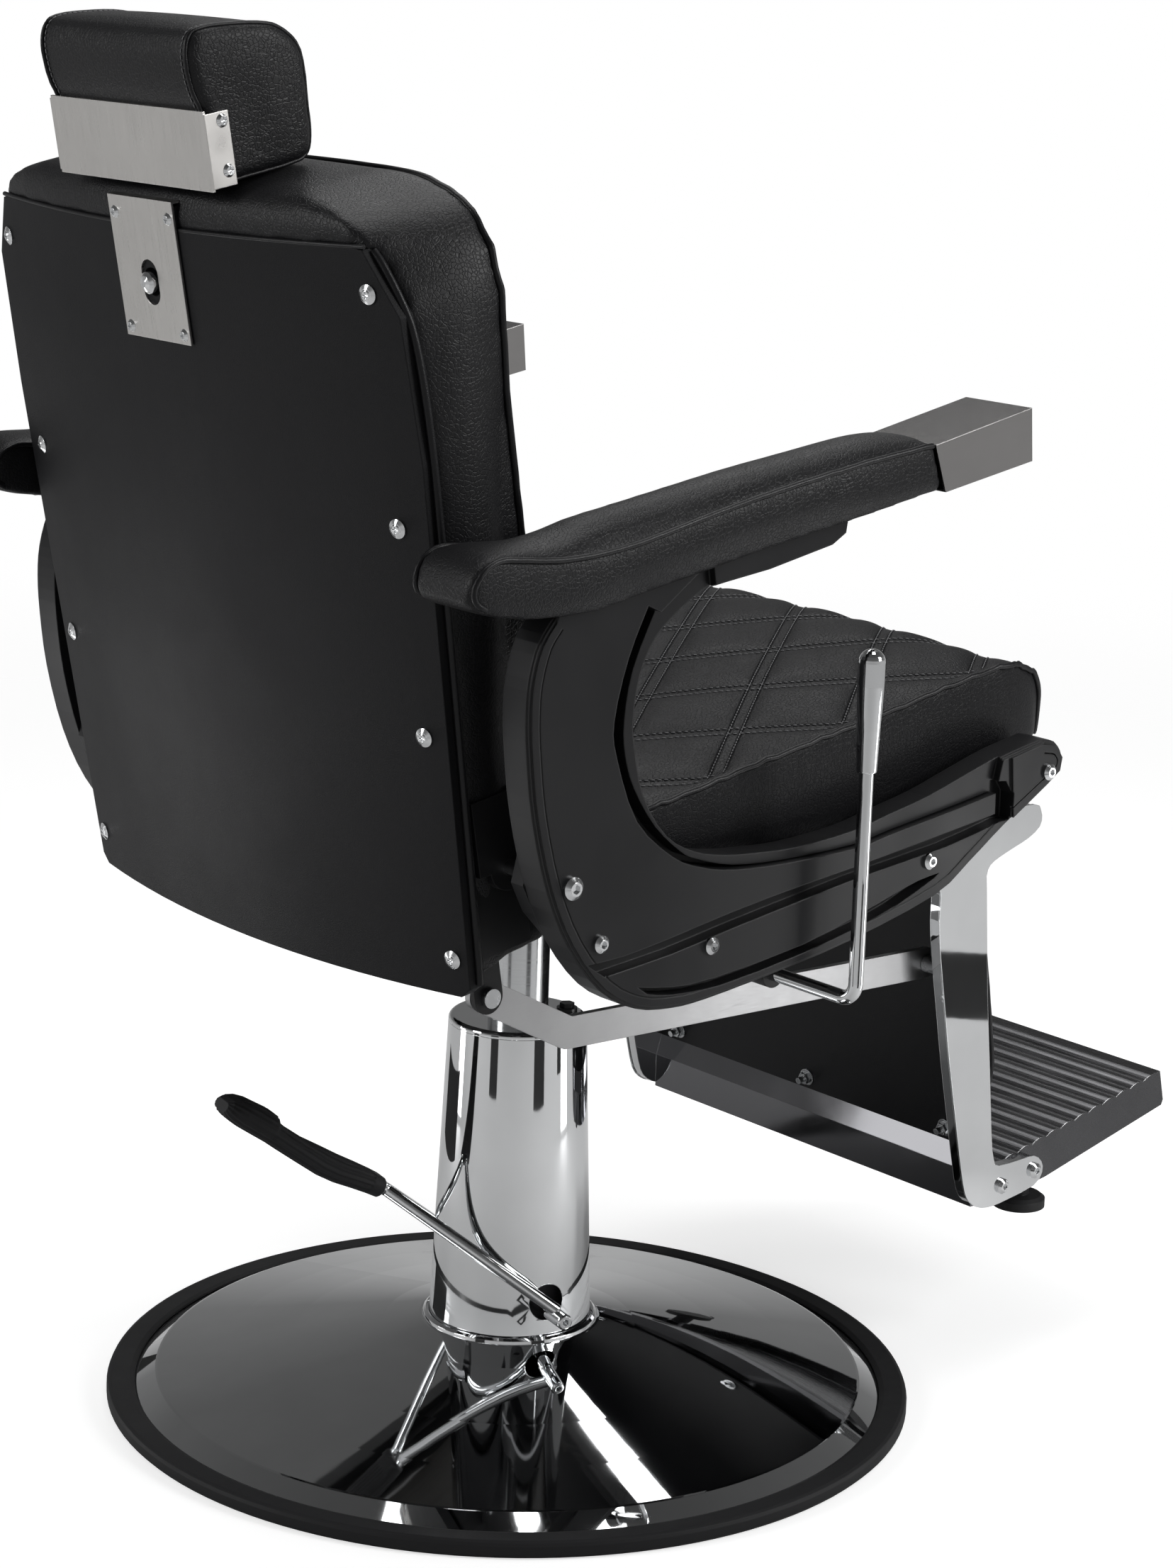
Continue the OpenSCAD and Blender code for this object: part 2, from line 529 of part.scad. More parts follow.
// wooden core of the arm, running on into the end cap
module arm_board() {
  color([0.5, 0.38, 0.25]) difference() {
    yz(arm_x - 24, 48) polygon(arm_board_edge);
    for (p = arm_screw_at) translate([arm_x, p[0], p[1] - 20]) cylinder(h = 60, r = bolt_r + fit);
  }
}
module arm_board_left() { arm_board(); }
module arm_board_right() { mirror([1, 0, 0]) arm_board(); }

// folded steel end cap of the arm, hollow, open to the rear
module arm_cap() {
  color([0.5, 0.5, 0.51]) difference() {
    yz(arm_x - arm_hw, 2 * arm_hw) polygon([[-112, 873], [-220, 895], [-224, 852.1], [-126, 834.8]]);
    yz(arm_x - arm_hw + 2, 2 * arm_hw - 4) polygon([[-100, 868.5], [-218.2, 892.6], [-221.7, 853.6], [-100, 832.1]]);
  }
}
module arm_cap_left() { arm_cap(); }
module arm_cap_right() { mirror([1, 0, 0]) arm_cap(); }

// screws from the panel's arm horn up into the arm board
module arm_screws() {
  color([0.8, 0.8, 0.82]) pair() for (p = arm_screw_at) translate([arm_x, p[0], p[1]]) {
    cylinder(h = p[2] - p[1], r = bolt_r);
    translate([0, 0, -3]) cylinder(h = 3, r1 = 5, r2 = 7.5);
  }
}

// bearing bracket of the recline lever under the seat board
module lever_bracket() {
  color([0.1, 0.1, 0.1]) mirror([1, 0, 0]) difference() {
    union() {
      translate([248, lever_y - 25, pan_z - 4]) cube([32, 50, 4]);
      yz(248, 8) polygon([[lever_y - 25, pan_z], [lever_y - 12, lever_z], [lever_y + 12, lever_z], [lever_y + 25, pan_z]]);
      xcyl(240, 22, lever_y, lever_z, 12);
    }
    xcyl(230, 60, lever_y, lever_z, lever_r + fit);
  }
}

// pivot bolts of the backrest, through panel and rail
module back_hinge_pins() {
  color([0.8, 0.8, 0.82]) pair() button_bolt(panel_x, 80, pin_r, back_pivot_y, back_pivot_z, 9, 6);
}

// pivot pins of the leg rest in the frame lugs
module leg_hinge_pins() {
  color([0.7, 0.7, 0.7]) pair() {
    xcyl(cast_x - 5, cast_t + 20, leg_y, leg_z, pin_r);
    xcyl(cast_x - 6, 5, leg_y, leg_z, 10);
    translate([cast_x + cast_t + 11, leg_y, leg_z]) rotate([0, 90, 0]) cylinder(h = 6, r = 10, $fn = 6);
  }
}

// lever

// bent chrome rod of the recline lever
module lever_rod() {
  bend = 15;
  color([0.85, 0.85, 0.87]) union() {
    translate([-lever_x, lever_y, lever_z + bend]) cylinder(h = 625 - lever_z - bend, r = lever_r);
    translate([bend - lever_x, lever_y, lever_z + bend]) rotate([90, 0, 0]) rotate([0, 0, 180]) rotate_extrude(angle = 90)
      translate([bend, 0]) circle(r = lever_r);
    xcyl(bend - lever_x, lever_x - bend - 236, lever_y, lever_z, lever_r);
  }
}

// turned chrome handle of the recline lever
module lever_handle() {
  dome = [for (a = [0:15:90]) [10.8 * cos(a), 708.5 + 10.8 * sin(a)]];
  color([0.85, 0.85, 0.87]) translate([-lever_x, lever_y, 0]) difference() {
    rotate_extrude() polygon(concat([[0, 621], [8, 621], [8.4, 622], [9.6, 655], [10.8, 690]], dome));
    translate([0, 0, 600]) cylinder(h = 25, r = lever_r);
  }
}

// back, drawn upright along w and leaned with leaned(); n is the depth, rearward positive

function crown(x) = crown_h - crown_r + sqrt(crown_r * crown_r - x * x);
screw_w = [1016.4, 842.5, 680.8, 501.1];
module at_back_screws() {
  pair() for (w = screw_w) translate([236, crown(236), w]) rotate([0, 0, -asin(236 / crown_r)]) children();
}
module ycyl(y0, w, r) { translate([0, y0, 0]) rotate([-90, 0, 0]) cylinder(h = w, r = r); }

// welded frame of the back with hinge plates and the ear for the link
module back_frame() {
  color([0.1, 0.1, 0.1]) leaned() difference() {
    union() {
      pair() translate([224, -63, 497]) cube([25, 50, 508]);
      translate([-224, -63, 497]) cube([448, 50, 25]);
      translate([-224, -63, 980]) cube([448, 50, 25]);
      pair() translate([249, pivot_n, pivot_w]) rotate([0, 90, 0]) cylinder(h = 8, r = 18);
      pair() translate([249, -60, pivot_w]) cube([8, 44, 60]);
      translate([-203, ear_n, ear_w]) rotate([0, 90, 0]) cylinder(h = 5, r = 14);
      translate([-203, ear_n - 14, ear_w]) cube([5, 28, 500 - ear_w]);
    }
    pair() translate([226.5, -60.5, 490]) cube([20, 45, 520]);
    for (w = [499.5, 982.5]) translate([-240, -60.5, w]) cube([480, 45, 20]);
    pair() translate([248, pivot_n, pivot_w]) rotate([0, 90, 0]) cylinder(h = 10, r = pin_r + fit);
    translate([-204, ear_n, ear_w]) rotate([0, 90, 0]) cylinder(h = 7, r = link_pin_r + fit);
    at_back_screws() ycyl(-40, 60, 2.05);
  }
}

// outline of the board, as (x, w)
board_edge = [[-240, 470.5], [240, 470.5], [249, 478], [266, 891], [262, 1000], [235, 1048], [225, 1049.5],
  [41, 1049.5], [41, 1068], [-41, 1068], [-41, 1049.5], [-225, 1049.5], [-235, 1048], [-262, 1000], [-266, 891],
  [-249, 478]];
// bent plywood back board, covered, crowned across its width
module back_board() {
  color([0.06, 0.06, 0.06]) leaned() difference() {
    intersection() {
      translate([0, 60, 0]) rotate([90, 0, 0]) linear_extrude(120) polygon(board_edge);
      translate([0, crown_h - crown_r, 460]) cylinder(h = 620, r = crown_r, $fn = 360);
    }
    translate([0, crown_h - crown_r, 450]) cylinder(h = 640, r = crown_r - board_t, $fn = 360);
    at_back_screws() ycyl(-40, 60, 2.6);
    translate([0, 0, button_w]) ycyl(0, 40, 11);
    for (x = [-35, 35]) for (w = [970.4, 1058.6]) translate([x, 0, w]) ycyl(0, 40, 2.55);
  }
}

// w, half width rear, half width front, set-in of the rear face, front depth, front crown
back_rows = [[478, 243, 240, 16, -40, 0], [481, 247, 250, 14, -68, 1], [486, 248, 256, 12.6, -84, 3],
  [497, 249, 260, 12.6, -97, 6], [515, 250, 262, 12.6, -103, 8], [565, 252, 264, 12.6, -105, 10],
  [650, 256, 266, 12.6, -105, 12], [740, 260, 268, 12.6, -105, 13], [830, 264, 270, 12.6, -104, 13],
  [891, 266, 271, 12.6, -104, 12], [950, 264, 271, 12.6, -104, 11], [1000, 262, 270, 12.6, -103.5, 9],
  [1024, 249, 266, 12.6, -103, 8], [1049.8, 234, 256, 12.6, -103, 6], [1050.4, 234, 255.5, 1, -103, 6],
  [1060, 226, 240, 1.5, -103, 5], [1068, 212, 218, 4, -103, 4], [1074, 194, 196, 8, -102.5, 3],
  [1079, 170, 172, 13, -100, 2], [1082, 160, 164, 20, -88, 1], [1084.5, 140, 146, 34, -66, 0]];
function back_ring(r) = concat(
  [for (i = [-5:5]) [i / 5 * r[1], crown(i / 5 * r[1]) - r[3], r[0]]],
  [[r[1] * 0.6 + r[2] * 0.4 + 2, -30, r[0]], [r[1] * 0.3 + r[2] * 0.7 + 1.5, r[4] * 0.5 - 12, r[0]]],
  [for (i = [5:-1:-5]) [i / 5 * r[2], r[4] + (abs(i) == 5 ? 3 : 0) - r[5] * (1 - i * i / 25), r[0]]],
  [[-r[1] * 0.3 - r[2] * 0.7 - 1.5, r[4] * 0.5 - 12, r[0]], [-r[1] * 0.6 - r[2] * 0.4 - 2, -30, r[0]]]);
// upholstered back cushion with stuffed border, hollow behind for the frame
module back_cushion() {
  color([0.09, 0.09, 0.09]) leaned() difference() {
    loft([for (r = back_rows) back_ring(r)]);
    translate([-249.3, -63.3, 496.7]) cube([498.6, 120, 545]);
    pair() translate([248, -64, pivot_w - 21]) cube([9.3, 52, 84]);
    pair() translate([240, pivot_n, pivot_w]) rotate([0, 90, 0]) cylinder(h = 40, r = 10, $fn = 24);
    translate([-204, ear_n - 15, 470]) cube([7, 30, 40]);
    translate([-post_hw - 1.5, -5.5, 1030]) cube([2 * post_hw + 3, post_t + 3, 70]);
    translate([-42.5, 15, 1030]) cube([85, 40, 45]);
  }
}

// cross recessed screws in cup washers round the back board
module back_screws() {
  color([0.85, 0.85, 0.87]) leaned() at_back_screws() difference() {
    union() {
      ycyl(-38, 38, 2);
      ycyl(0, 1.2, 7.5);
      translate([0, 1.2, 0]) rotate([-90, 0, 0]) cylinder(h = 1.6, r1 = 7.5, r2 = 4.6);
      translate([0, 2.8, 0]) rotate([-90, 0, 0]) cylinder(h = 0.8, r1 = 4.2, r2 = 3);
    }
    translate([-0.5, 2.2, -2.6]) cube([1, 3, 5.2]);
    translate([-2.6, 2.2, -0.5]) cube([5.2, 3, 1]);
  }
}

// brushed steel plate behind the headrest socket, with an oval slot for the button
module head_plate() {
  color([0.7, 0.69, 0.67]) leaned() difference() {
    union() {
      translate([-42, crown_h, 963]) cube([84, 2, 109]);
      translate([-42, crown_h - 8, 1070.2]) cube([84, 9, 1.8]);
    }
    for (w = [-7, 7]) translate([0, 0, button_w + w]) ycyl(0, 60, 10.5);
    translate([-10.5, 0, button_w - 7]) cube([21, 60, 14]);
    for (x = [-35, 35]) for (w = [970.4, 1058.6]) translate([x, 0, w]) ycyl(0, 60, 2.55);
  }
}

// four screws of the head plate
module head_plate_screws() {
  color([0.85, 0.85, 0.87]) leaned() for (x = [-35, 35]) for (w = [970.4, 1058.6]) translate([x, 0, w]) difference() {
    union() {
      ycyl(crown_h - 10, 12, 2.5);
      translate([0, crown_h + 2, 0]) rotate([-90, 0, 0]) cylinder(h = 2.2, r1 = 5, r2 = 3.2);
    }
    translate([-0.5, crown_h + 3, -2.2]) cube([1, 3, 4.4]);
    translate([-2.2, crown_h + 3, -0.5]) cube([4.4, 3, 1]);
  }
}

// steel socket that guides the headrest post and the button
module head_socket() {
  color([0.35, 0.35, 0.36]) leaned() difference() {
    union() {
      translate([-post_hw - 5, -13, 885]) cube([2 * post_hw + 10, post_t + 13, 155]);
      translate([0, 0, button_w]) ycyl(8, 7.8, 10);
    }
    translate([-post_hw - fit, -4 - fit, 880]) cube([2 * (post_hw + fit), post_t + 2 * fit, 170]);
    translate([0, 0, button_w]) ycyl(0, 30, 5 + fit);
  }
}

// clevis pin and washers of the rear link joint
module link_pin() {
  color([0.7, 0.7, 0.7]) union() {
    xcyl(-208, 22, ear_y, ear_z, link_pin_r);
    xcyl(-208, 5, ear_y, ear_z, 8);
    xcyl(-189.8, 2.4, ear_y, ear_z, 8);
  }
}

// push button of the headrest lock
module release_button() {
  color([0.85, 0.85, 0.87]) leaned() translate([0, 0, button_w]) union() {
    ycyl(10.4, 12, 5);
    ycyl(21, 12, 8.5);
    translate([0, 33, 0]) rotate([-90, 0, 0]) cylinder(h = 2.5, r1 = 8.5, r2 = 6);
    translate([0, 35.5, 0]) rotate([-90, 0, 0]) cylinder(h = 1.2, r1 = 6, r2 = 2.5);
  }
}

// headrest

// flat steel post with a welded foot for the bracket
module headrest_post() {
  color([0.6, 0.6, 0.61]) leaned() union() {
    translate([-post_hw, -4, 905]) cube([2 * post_hw, post_t, 245]);
    translate([-post_hw, -4, 1110]) cube([2 * post_hw, crown_h + 4, 8]);
  }
}

// folded brushed steel bracket round the back of the headrest
module headrest_bracket() {
  color([0.7, 0.69, 0.67]) leaned() difference() {
    union() {
      translate([-head_hw, crown_h, 1083.8]) cube([2 * head_hw, 2, 59]);
      pair() translate([head_hw, 9, 1086]) cube([1.6, 21, 54.6]);
    }
    for (w = [1097.4, 1133.9]) translate([-120, 15, w]) rotate([0, 90, 0]) cylinder(h = 240, r = 2.55);
  }
}

head_outline = smooth([[395, 1063.5], [399.5, 1093], [403.6, 1118], [411, 1130], [416, 1150], [417, 1166],
  [410, 1177.5], [379, 1181.5], [347, 1182], [331, 1177], [316, 1162], [309, 1122], [306, 1101], [309, 1086],
  [324, 1079.6], [360, 1072]], 1);
// x and scale of each section of the headrest cushion
head_rows = [[-99.7, 0.9], [-98, 0.955], [-92, 0.985], [-80, 1], [-45, 1.004], [0, 1.006], [45, 1.004], [80, 1],
  [92, 0.985], [98, 0.955], [99.7, 0.9]];
// upholstered headrest cushion with a pocket for the post
module headrest_cushion() {
  c = [362, 1122];
  color([0.09, 0.09, 0.09]) difference() {
    loft([for (r = head_rows) [for (p = back(head_outline)) [r[0], c[0] + (p[0] - c[0]) * (r[1] > 1 ? 1 : r[1]),
      c[1] + (p[1] - c[1]) * (r[1] > 1 ? 1 : r[1])]]]);
    leaned() translate([-post_hw - 0.2, -4.2, 1070]) cube([2 * post_hw + 0.4, post_t + 0.4, 80.4]);
    leaned() translate([-post_hw - 0.2, -4.2, 1109.8]) cube([2 * post_hw + 0.4, 60, 8.4]);
    leaned() translate([-110, crown_h - 0.1, 1080]) cube([220, 3, 66]);
    for (w = [1097.4, 1133.9]) leaned() translate([-120, 15, w]) rotate([0, 90, 0]) cylinder(h = 240, r = 3, $fn = 24);
  }
}

// side screws of the headrest bracket
module headrest_screws() {
  color([0.85, 0.85, 0.87]) leaned() pair() for (w = [1097.4, 1133.9]) translate([head_hw + 1.6, 15, w])
    rotate([0, 90, 0]) difference() {
      union() {
        translate([0, 0, -22]) cylinder(h = 22, r = 2.5);
        cylinder(h = 2.4, r1 = 5.2, r2 = 3.4);
      }
      translate([-0.5, -2.4, 1]) cube([1, 4.8, 3]);
      translate([-2.4, -0.5, 1]) cube([4.8, 1, 3]);
    }
}

// link

// flat bent bar that ties the leg rest to the back
module link_bar() {
  a = [ear_y, ear_z];
  b = [113, 396];
  c = [link_front_y, link_front_z];
  color([0.75, 0.76, 0.77]) difference() {
    union() {
      for (p = [a, b, c]) xcyl(-link_x, link_t, p[0], p[1], link_h / 2);
      for (s = [[a, b], [c, b]]) yz(-link_x, link_t) polygon([s[0] + link_h / 2 * side(s[0], s[1]),
        s[1] + link_h / 2 * side(s[0], s[1]), s[1] - link_h / 2 * side(s[0], s[1]), s[0] - link_h / 2 * side(s[0], s[1])]);
    }
    xcyl(-link_x - 1, link_t + 2, a[0], a[1], link_pin_r + fit);
    xcyl(-link_x - 1, link_t + 2, c[0], c[1], link_pin_r + open_fit);
  }
}

// leg rest

cast_edge = smooth([[-402, 517], [-406, 508], [-404, 499], [-391, 491], [-373, 485], [-355, 479], [-343, 473],
  [-339, 464], [-340, 452], [-349, 356], [-357, 290], [-365, 222], [-370, 197], [-378, 189], [-408, 189],
  [-424, 189], [-434, 182], [-436, 172], [-426, 162], [-392, 156], [-374, 154], [-359, 155], [-346, 161],
  [-337, 172], [-330, 196], [-322, 231], [-307, 299], [-298, 346], [-288, 399], [-284, 431], [-284, 455],
  [-276, 474], [-260, 488], [-254, 502], [-257, 515], [-271, 522], [-300, 523], [-350, 520], [-395, 519]], 2);
foot_bolt_at = [[-383, 170], [-425, 176]];
// cast chrome leg, from the hinge down to the foot
module leg_casting() {
  color([0.85, 0.85, 0.87]) difference() {
    union() {
      yz(cast_x, cast_t - 1.5) polygon(cast_edge);
      yz(cast_x + cast_t - 1.5, 1.5) polygon(shift(cast_edge, 1));
    }
    xcyl(cast_x - 1, 40, leg_y, leg_z, pin_r + fit);
    for (p = foot_bolt_at) xcyl(cast_x - 1, 40, p[0], p[1], bolt_r + fit);
  }
}
module leg_casting_left() { leg_casting(); }
module leg_casting_right() {
  difference() {
    mirror([1, 0, 0]) leg_casting();
    color([0.85, 0.85, 0.87]) xcyl(-cast_x - 8, 10, link_front_y, link_front_z, link_pin_r + fit);
  }
}

// folded chrome channel across the legs, below the calf board
module cross_channel() {
  color([0.8, 0.8, 0.82]) yz(-cast_x, 2 * cast_x) polygon([[-357, 152], [-357, 184], [-364, 205.8], [-369.4, 205.8],
    [-369.4, 204], [-365.3, 204], [-359, 184], [-359, 154], [-371, 154], [-371, 152]]);
}

calf_slope = 0.18;
function calf_y(z) = -355 + calf_slope * (z - 220);
module at_calf_studs() {
  for (x = [-177, 0, 177]) translate([x, calf_y(218), 218]) rotate([-atan(calf_slope), 0, 0]) children();
}
// covered board behind the calf pad
module calf_board() {
  color([0.04, 0.04, 0.04]) difference() {
    yz(-cast_x, 2 * cast_x) polygon([[calf_y(206), 206], [calf_y(480), 480], [calf_y(480) - 12, 480],
      [calf_y(206) - 12, 206]]);
    at_calf_studs() ycyl(-30, 60, 3.05);
  }
}

// z, half width, rear set-in, depth of the calf pad sections
calf_rows = [[240, 188, 3, 9, 0], [243, 196, 0.5, 20, 1], [252, 201, 0.5, 29, 3], [275, 203, 0.5, 34, 5],
  [320, 204, 0.5, 36, 7], [370, 204, 0.5, 36, 7], [420, 203, 0.5, 34, 6], [450, 201, 0.5, 29, 4],
  [461, 196, 0.5, 20, 2], [465, 188, 3, 9, 0]];
function calf_ring(r) = concat([[-r[1] + 3, calf_y(r[0]) - 12 - r[2], r[0]], [r[1] - 3, calf_y(r[0]) - 12 - r[2], r[0]],
  [r[1], calf_y(r[0]) - 14 - r[3] * 0.4, r[0]]], [for (i = [6:-1:-6]) [i / 6 * (r[1] - 3), calf_y(r[0]) - 12 - r[3]
    - r[4] * (1 - i * i / 36), r[0]]], [[-r[1], calf_y(r[0]) - 14 - r[3] * 0.4, r[0]]]);
// upholstered calf pad on the front of the board
module calf_pad() {
  color([0.09, 0.09, 0.09]) loft([for (r = calf_rows) calf_ring(r)]);
}

// studs, washers and nuts along the lower edge of the calf board
module calf_fixings() {
  color([0.7, 0.7, 0.7]) at_calf_studs() {
    ycyl(-11.5, 24, 3);
    ycyl(0, 1.5, 8);
    translate([0, 1.5, 0]) rotate([-90, 0, 0]) cylinder(h = 5, r = 5.8, $fn = 6);
  }
}

tread_y = -385;
tread_slope = 0.2087;
function tread_z(y) = 186 - tread_slope * (y - tread_y);
// cast footplate, ribbed on top and open underneath
module footplate() {
  ridge = [for (i = [0:ridge_count * 8]) let (y = tread_y - 3 - i * ridge_pitch / 8)
    [y, tread_z(y) + 2.4 * abs(cos(i * 22.5)) - 1.4]];
  edge = [[-607, 232], [-614, 203], [-612, 198], [-455, 160], [-400, 152], [-372, 152], [-372, tread_z(-372) - 0.5]];
  color([0.6, 0.6, 0.61]) difference() {
    union() {
      difference() {
        yz(-cast_x, 2 * cast_x) polygon(concat(ridge, edge));
        yz(-cast_x + 8, 2 * cast_x - 16) polygon([[-380, 140], [-380, 177.5], [-599, 223], [-606, 192], [-560, 140]]);
      }
      pair() translate([185, -450, 160]) cylinder(h = 35, r = 12);
    }
    pair() for (p = foot_bolt_at) xcyl(cast_x - 20, 40, p[0], p[1], bolt_r + fit);
    pair() translate([185, -450, 150]) cylinder(h = 38, r = bolt_r + fit);
  }
}

// bolts that hold the legs to the footplate
module foot_bolts() {
  color([0.85, 0.85, 0.87]) pair() for (p = foot_bolt_at)
    button_bolt(cast_x + cast_t, 20, bolt_r, p[0], p[1], 7, 5);
}

// rubber bumper feet under the footplate
module foot_bumpers() {
  color([0.06, 0.06, 0.06]) pair() translate([185, -450, 0]) union() {
    translate([0, 0, 127]) cylinder(h = 8, r = 24);
    translate([0, 0, 135]) cylinder(h = 3, r1 = 24, r2 = 20);
    translate([0, 0, 138]) cylinder(h = 22, r = 9);
    translate([0, 0, 160]) cylinder(h = 26, r = bolt_r);
  }
}

// stud on the right leg that carries the front end of the link
module link_stud() {
  color([0.8, 0.8, 0.82]) union() {
    xcyl(-cast_x - 7, 34, link_front_y, link_front_z, link_pin_r);
    xcyl(-cast_x, cast_x - link_x - 0.4, link_front_y, link_front_z, 8);
    translate([0.4 - link_x + link_t, link_front_y, link_front_z]) rotate([0, 90, 0]) cylinder(h = 5, r = 8, $fn = 6);
  }
}

base_ring();
base_dish();
base_plate();
base_bolts();
column_sleeve();
sleeve_cap();
filler_cap();
pump_block();
pump_cylinder();
cylinder_gland();
pump_plunger();
pump_shaft();
pedal_rod_right();
pedal_rod_left();
pedal_pad();
piston();
swivel_hub();
seat_frame();
seat_board();
seat_cushion();
side_panel_right();
side_panel_left();
panel_bolts();
arm_pad_right();
arm_pad_left();
arm_board_right();
arm_board_left();
arm_cap_right();
arm_cap_left();
arm_screws();
lever_bracket();
back_hinge_pins();
leg_hinge_pins();
lever_rod();
lever_handle();
back_frame();
back_board();
back_cushion();
back_screws();
head_plate();
head_plate_screws();
head_socket();
link_pin();
release_button();
headrest_post();
headrest_bracket();
headrest_cushion();
headrest_screws();
link_bar();
leg_casting_right();
leg_casting_left();
cross_channel();
calf_board();
calf_pad();
calf_fixings();
footplate();
foot_bolts();
foot_bumpers();
link_stud();
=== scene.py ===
# Hydraulic barber chair: the looks of each piece, in the order in which the chair is put together.
# Millimetres in the tables, metres in the scene. +Z up, the sitter faces -Y, the sitter's right is -X.
import math
import bmesh
import bpy
from mathutils import Matrix, Vector
from mathutils.bvhtree import BVHTree
from mathutils.kdtree import KDTree
import numpy as np


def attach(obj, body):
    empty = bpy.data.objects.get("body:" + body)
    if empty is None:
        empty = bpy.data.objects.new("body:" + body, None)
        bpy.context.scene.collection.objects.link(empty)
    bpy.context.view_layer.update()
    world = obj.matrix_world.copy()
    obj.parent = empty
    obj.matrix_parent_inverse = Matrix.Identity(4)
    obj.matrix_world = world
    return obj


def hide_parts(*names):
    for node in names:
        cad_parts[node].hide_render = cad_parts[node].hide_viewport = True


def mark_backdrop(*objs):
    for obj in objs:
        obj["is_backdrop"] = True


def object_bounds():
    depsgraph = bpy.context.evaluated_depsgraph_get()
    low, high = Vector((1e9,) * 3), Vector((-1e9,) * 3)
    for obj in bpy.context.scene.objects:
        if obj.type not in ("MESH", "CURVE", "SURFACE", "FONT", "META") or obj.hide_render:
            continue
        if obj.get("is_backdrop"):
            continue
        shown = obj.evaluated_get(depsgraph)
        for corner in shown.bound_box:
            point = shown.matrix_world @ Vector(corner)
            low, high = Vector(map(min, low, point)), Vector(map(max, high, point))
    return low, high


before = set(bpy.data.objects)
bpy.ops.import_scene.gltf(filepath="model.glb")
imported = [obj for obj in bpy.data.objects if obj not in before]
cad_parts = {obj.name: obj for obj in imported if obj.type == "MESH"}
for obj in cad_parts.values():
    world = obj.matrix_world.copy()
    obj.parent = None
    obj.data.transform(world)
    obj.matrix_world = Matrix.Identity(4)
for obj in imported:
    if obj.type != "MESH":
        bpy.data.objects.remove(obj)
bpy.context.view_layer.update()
scene = bpy.context.scene
MM = 0.001

# Studio: pale floor, plain soft light and the camera.
# The floor fades into the white air behind it and keeps the chair's shadow.
# Dark cards that only gloss sees stand round it, so that the chrome has something dark to mirror.
CAMERA_AT = (-2.31495, 1.96122, 1.27933)
CAMERA_RIGHT = (-0.65353481, -0.75624868, 0.03130772)
CAMERA_UP = (0.19743197, -0.13039348, 0.97160597)
FOCAL_PIXELS, FRAME_PIXELS = 5193.19, 2212
SENSOR = 36
LAMP_GOAL = 0.55
FLOOR_RADIUS, FLOOR_DROP = 6, 0.0004
FLOOR_GREY, FLOOR_GLOW = 0.62, 0.62
# turn in degrees, reach from the axis, width, lower and upper edge in metres
CARDS = ((176, 1.15, 0.34, 0, 0.32), (104, 1.2, 0.26, 0, 0.32), (212, 1.25, 0.2, 0, 0.32),
         (226, 1.4, 0.5, 0.028, 0.108), (22, 0.75, 0.5, 0, 0.1))


def put(tree, kind, values={}, links={}, **settings):
    """Adds a shader node, sets its inputs and links other nodes' outputs to them."""
    node = tree.nodes.new("ShaderNode" + kind)
    for name, value in settings.items():
        setattr(node, name, value)
    for name, value in values.items():
        node.inputs[name].default_value = value
    for name, socket in links.items():
        tree.links.new(socket, node.inputs[name])
    return node


def seen_rays(tree):
    """The Light Path node, and one for rays from the camera, gloss or glass and zero for the rest."""
    path = put(tree, "LightPath")
    first = put(tree, "Math", {}, {0: path.outputs["Is Camera Ray"], 1: path.outputs["Is Glossy Ray"]},
                operation="MAXIMUM")
    both = put(tree, "Math", {}, {0: first.outputs[0], 1: path.outputs["Is Transmission Ray"]},
               operation="MAXIMUM")
    return path, both.outputs[0]


def ramp(tree, value, stops):
    """Grey ramp through (place, grey) stops."""
    node = put(tree, "ValToRGB", {}, {"Fac": value})
    band = node.color_ramp
    while len(band.elements) < len(stops):
        band.elements.new(0.5)
    for element, (place, grey) in zip(band.elements, stops):
        element.position = place
        element.color = (grey, grey, grey, 1)
    return node.outputs["Color"]


right, up = Vector(CAMERA_RIGHT), Vector(CAMERA_UP)
camera = bpy.data.objects.new("camera", bpy.data.cameras.new("camera"))
scene.collection.objects.link(camera)
turned = Matrix((right, up, right.cross(up))).transposed().to_4x4()
camera.matrix_world = Matrix.Translation(CAMERA_AT) @ turned
camera.data.sensor_width = SENSOR
camera.data.lens = SENSOR * FOCAL_PIXELS / FRAME_PIXELS
camera.data.clip_start, camera.data.clip_end = 0.05, 60
scene.camera = camera
scene.view_settings.view_transform = "Standard"

air = bpy.data.worlds.new("studio_air")
scene.world = air
air.use_nodes = True
tree = air.node_tree
tree.nodes.clear()
path, seen = seen_rays(tree)
place = put(tree, "TexCoord")
height = put(tree, "SeparateXYZ", {}, {0: place.outputs["Generated"]})
walls = ramp(tree, height.outputs["Z"],
             [(0.0, 0.42), (0.08, 0.30), (0.20, 0.17), (0.5, 0.10), (1.0, 0.05)])
white = put(tree, "MixRGB", {"Color2": (1, 1, 1, 1)},
            {"Fac": path.outputs["Is Camera Ray"], "Color1": walls})
shown = put(tree, "Background", {"Strength": 1.0}, {"Color": white.outputs[0]})
fill = put(tree, "Background", {"Color": (1, 1, 1, 1), "Strength": 0.2})
mixed = put(tree, "MixShader", {}, {0: seen, 1: fill.outputs[0], 2: shown.outputs[0]})
put(tree, "OutputWorld", {}, {"Surface": mixed.outputs[0]})

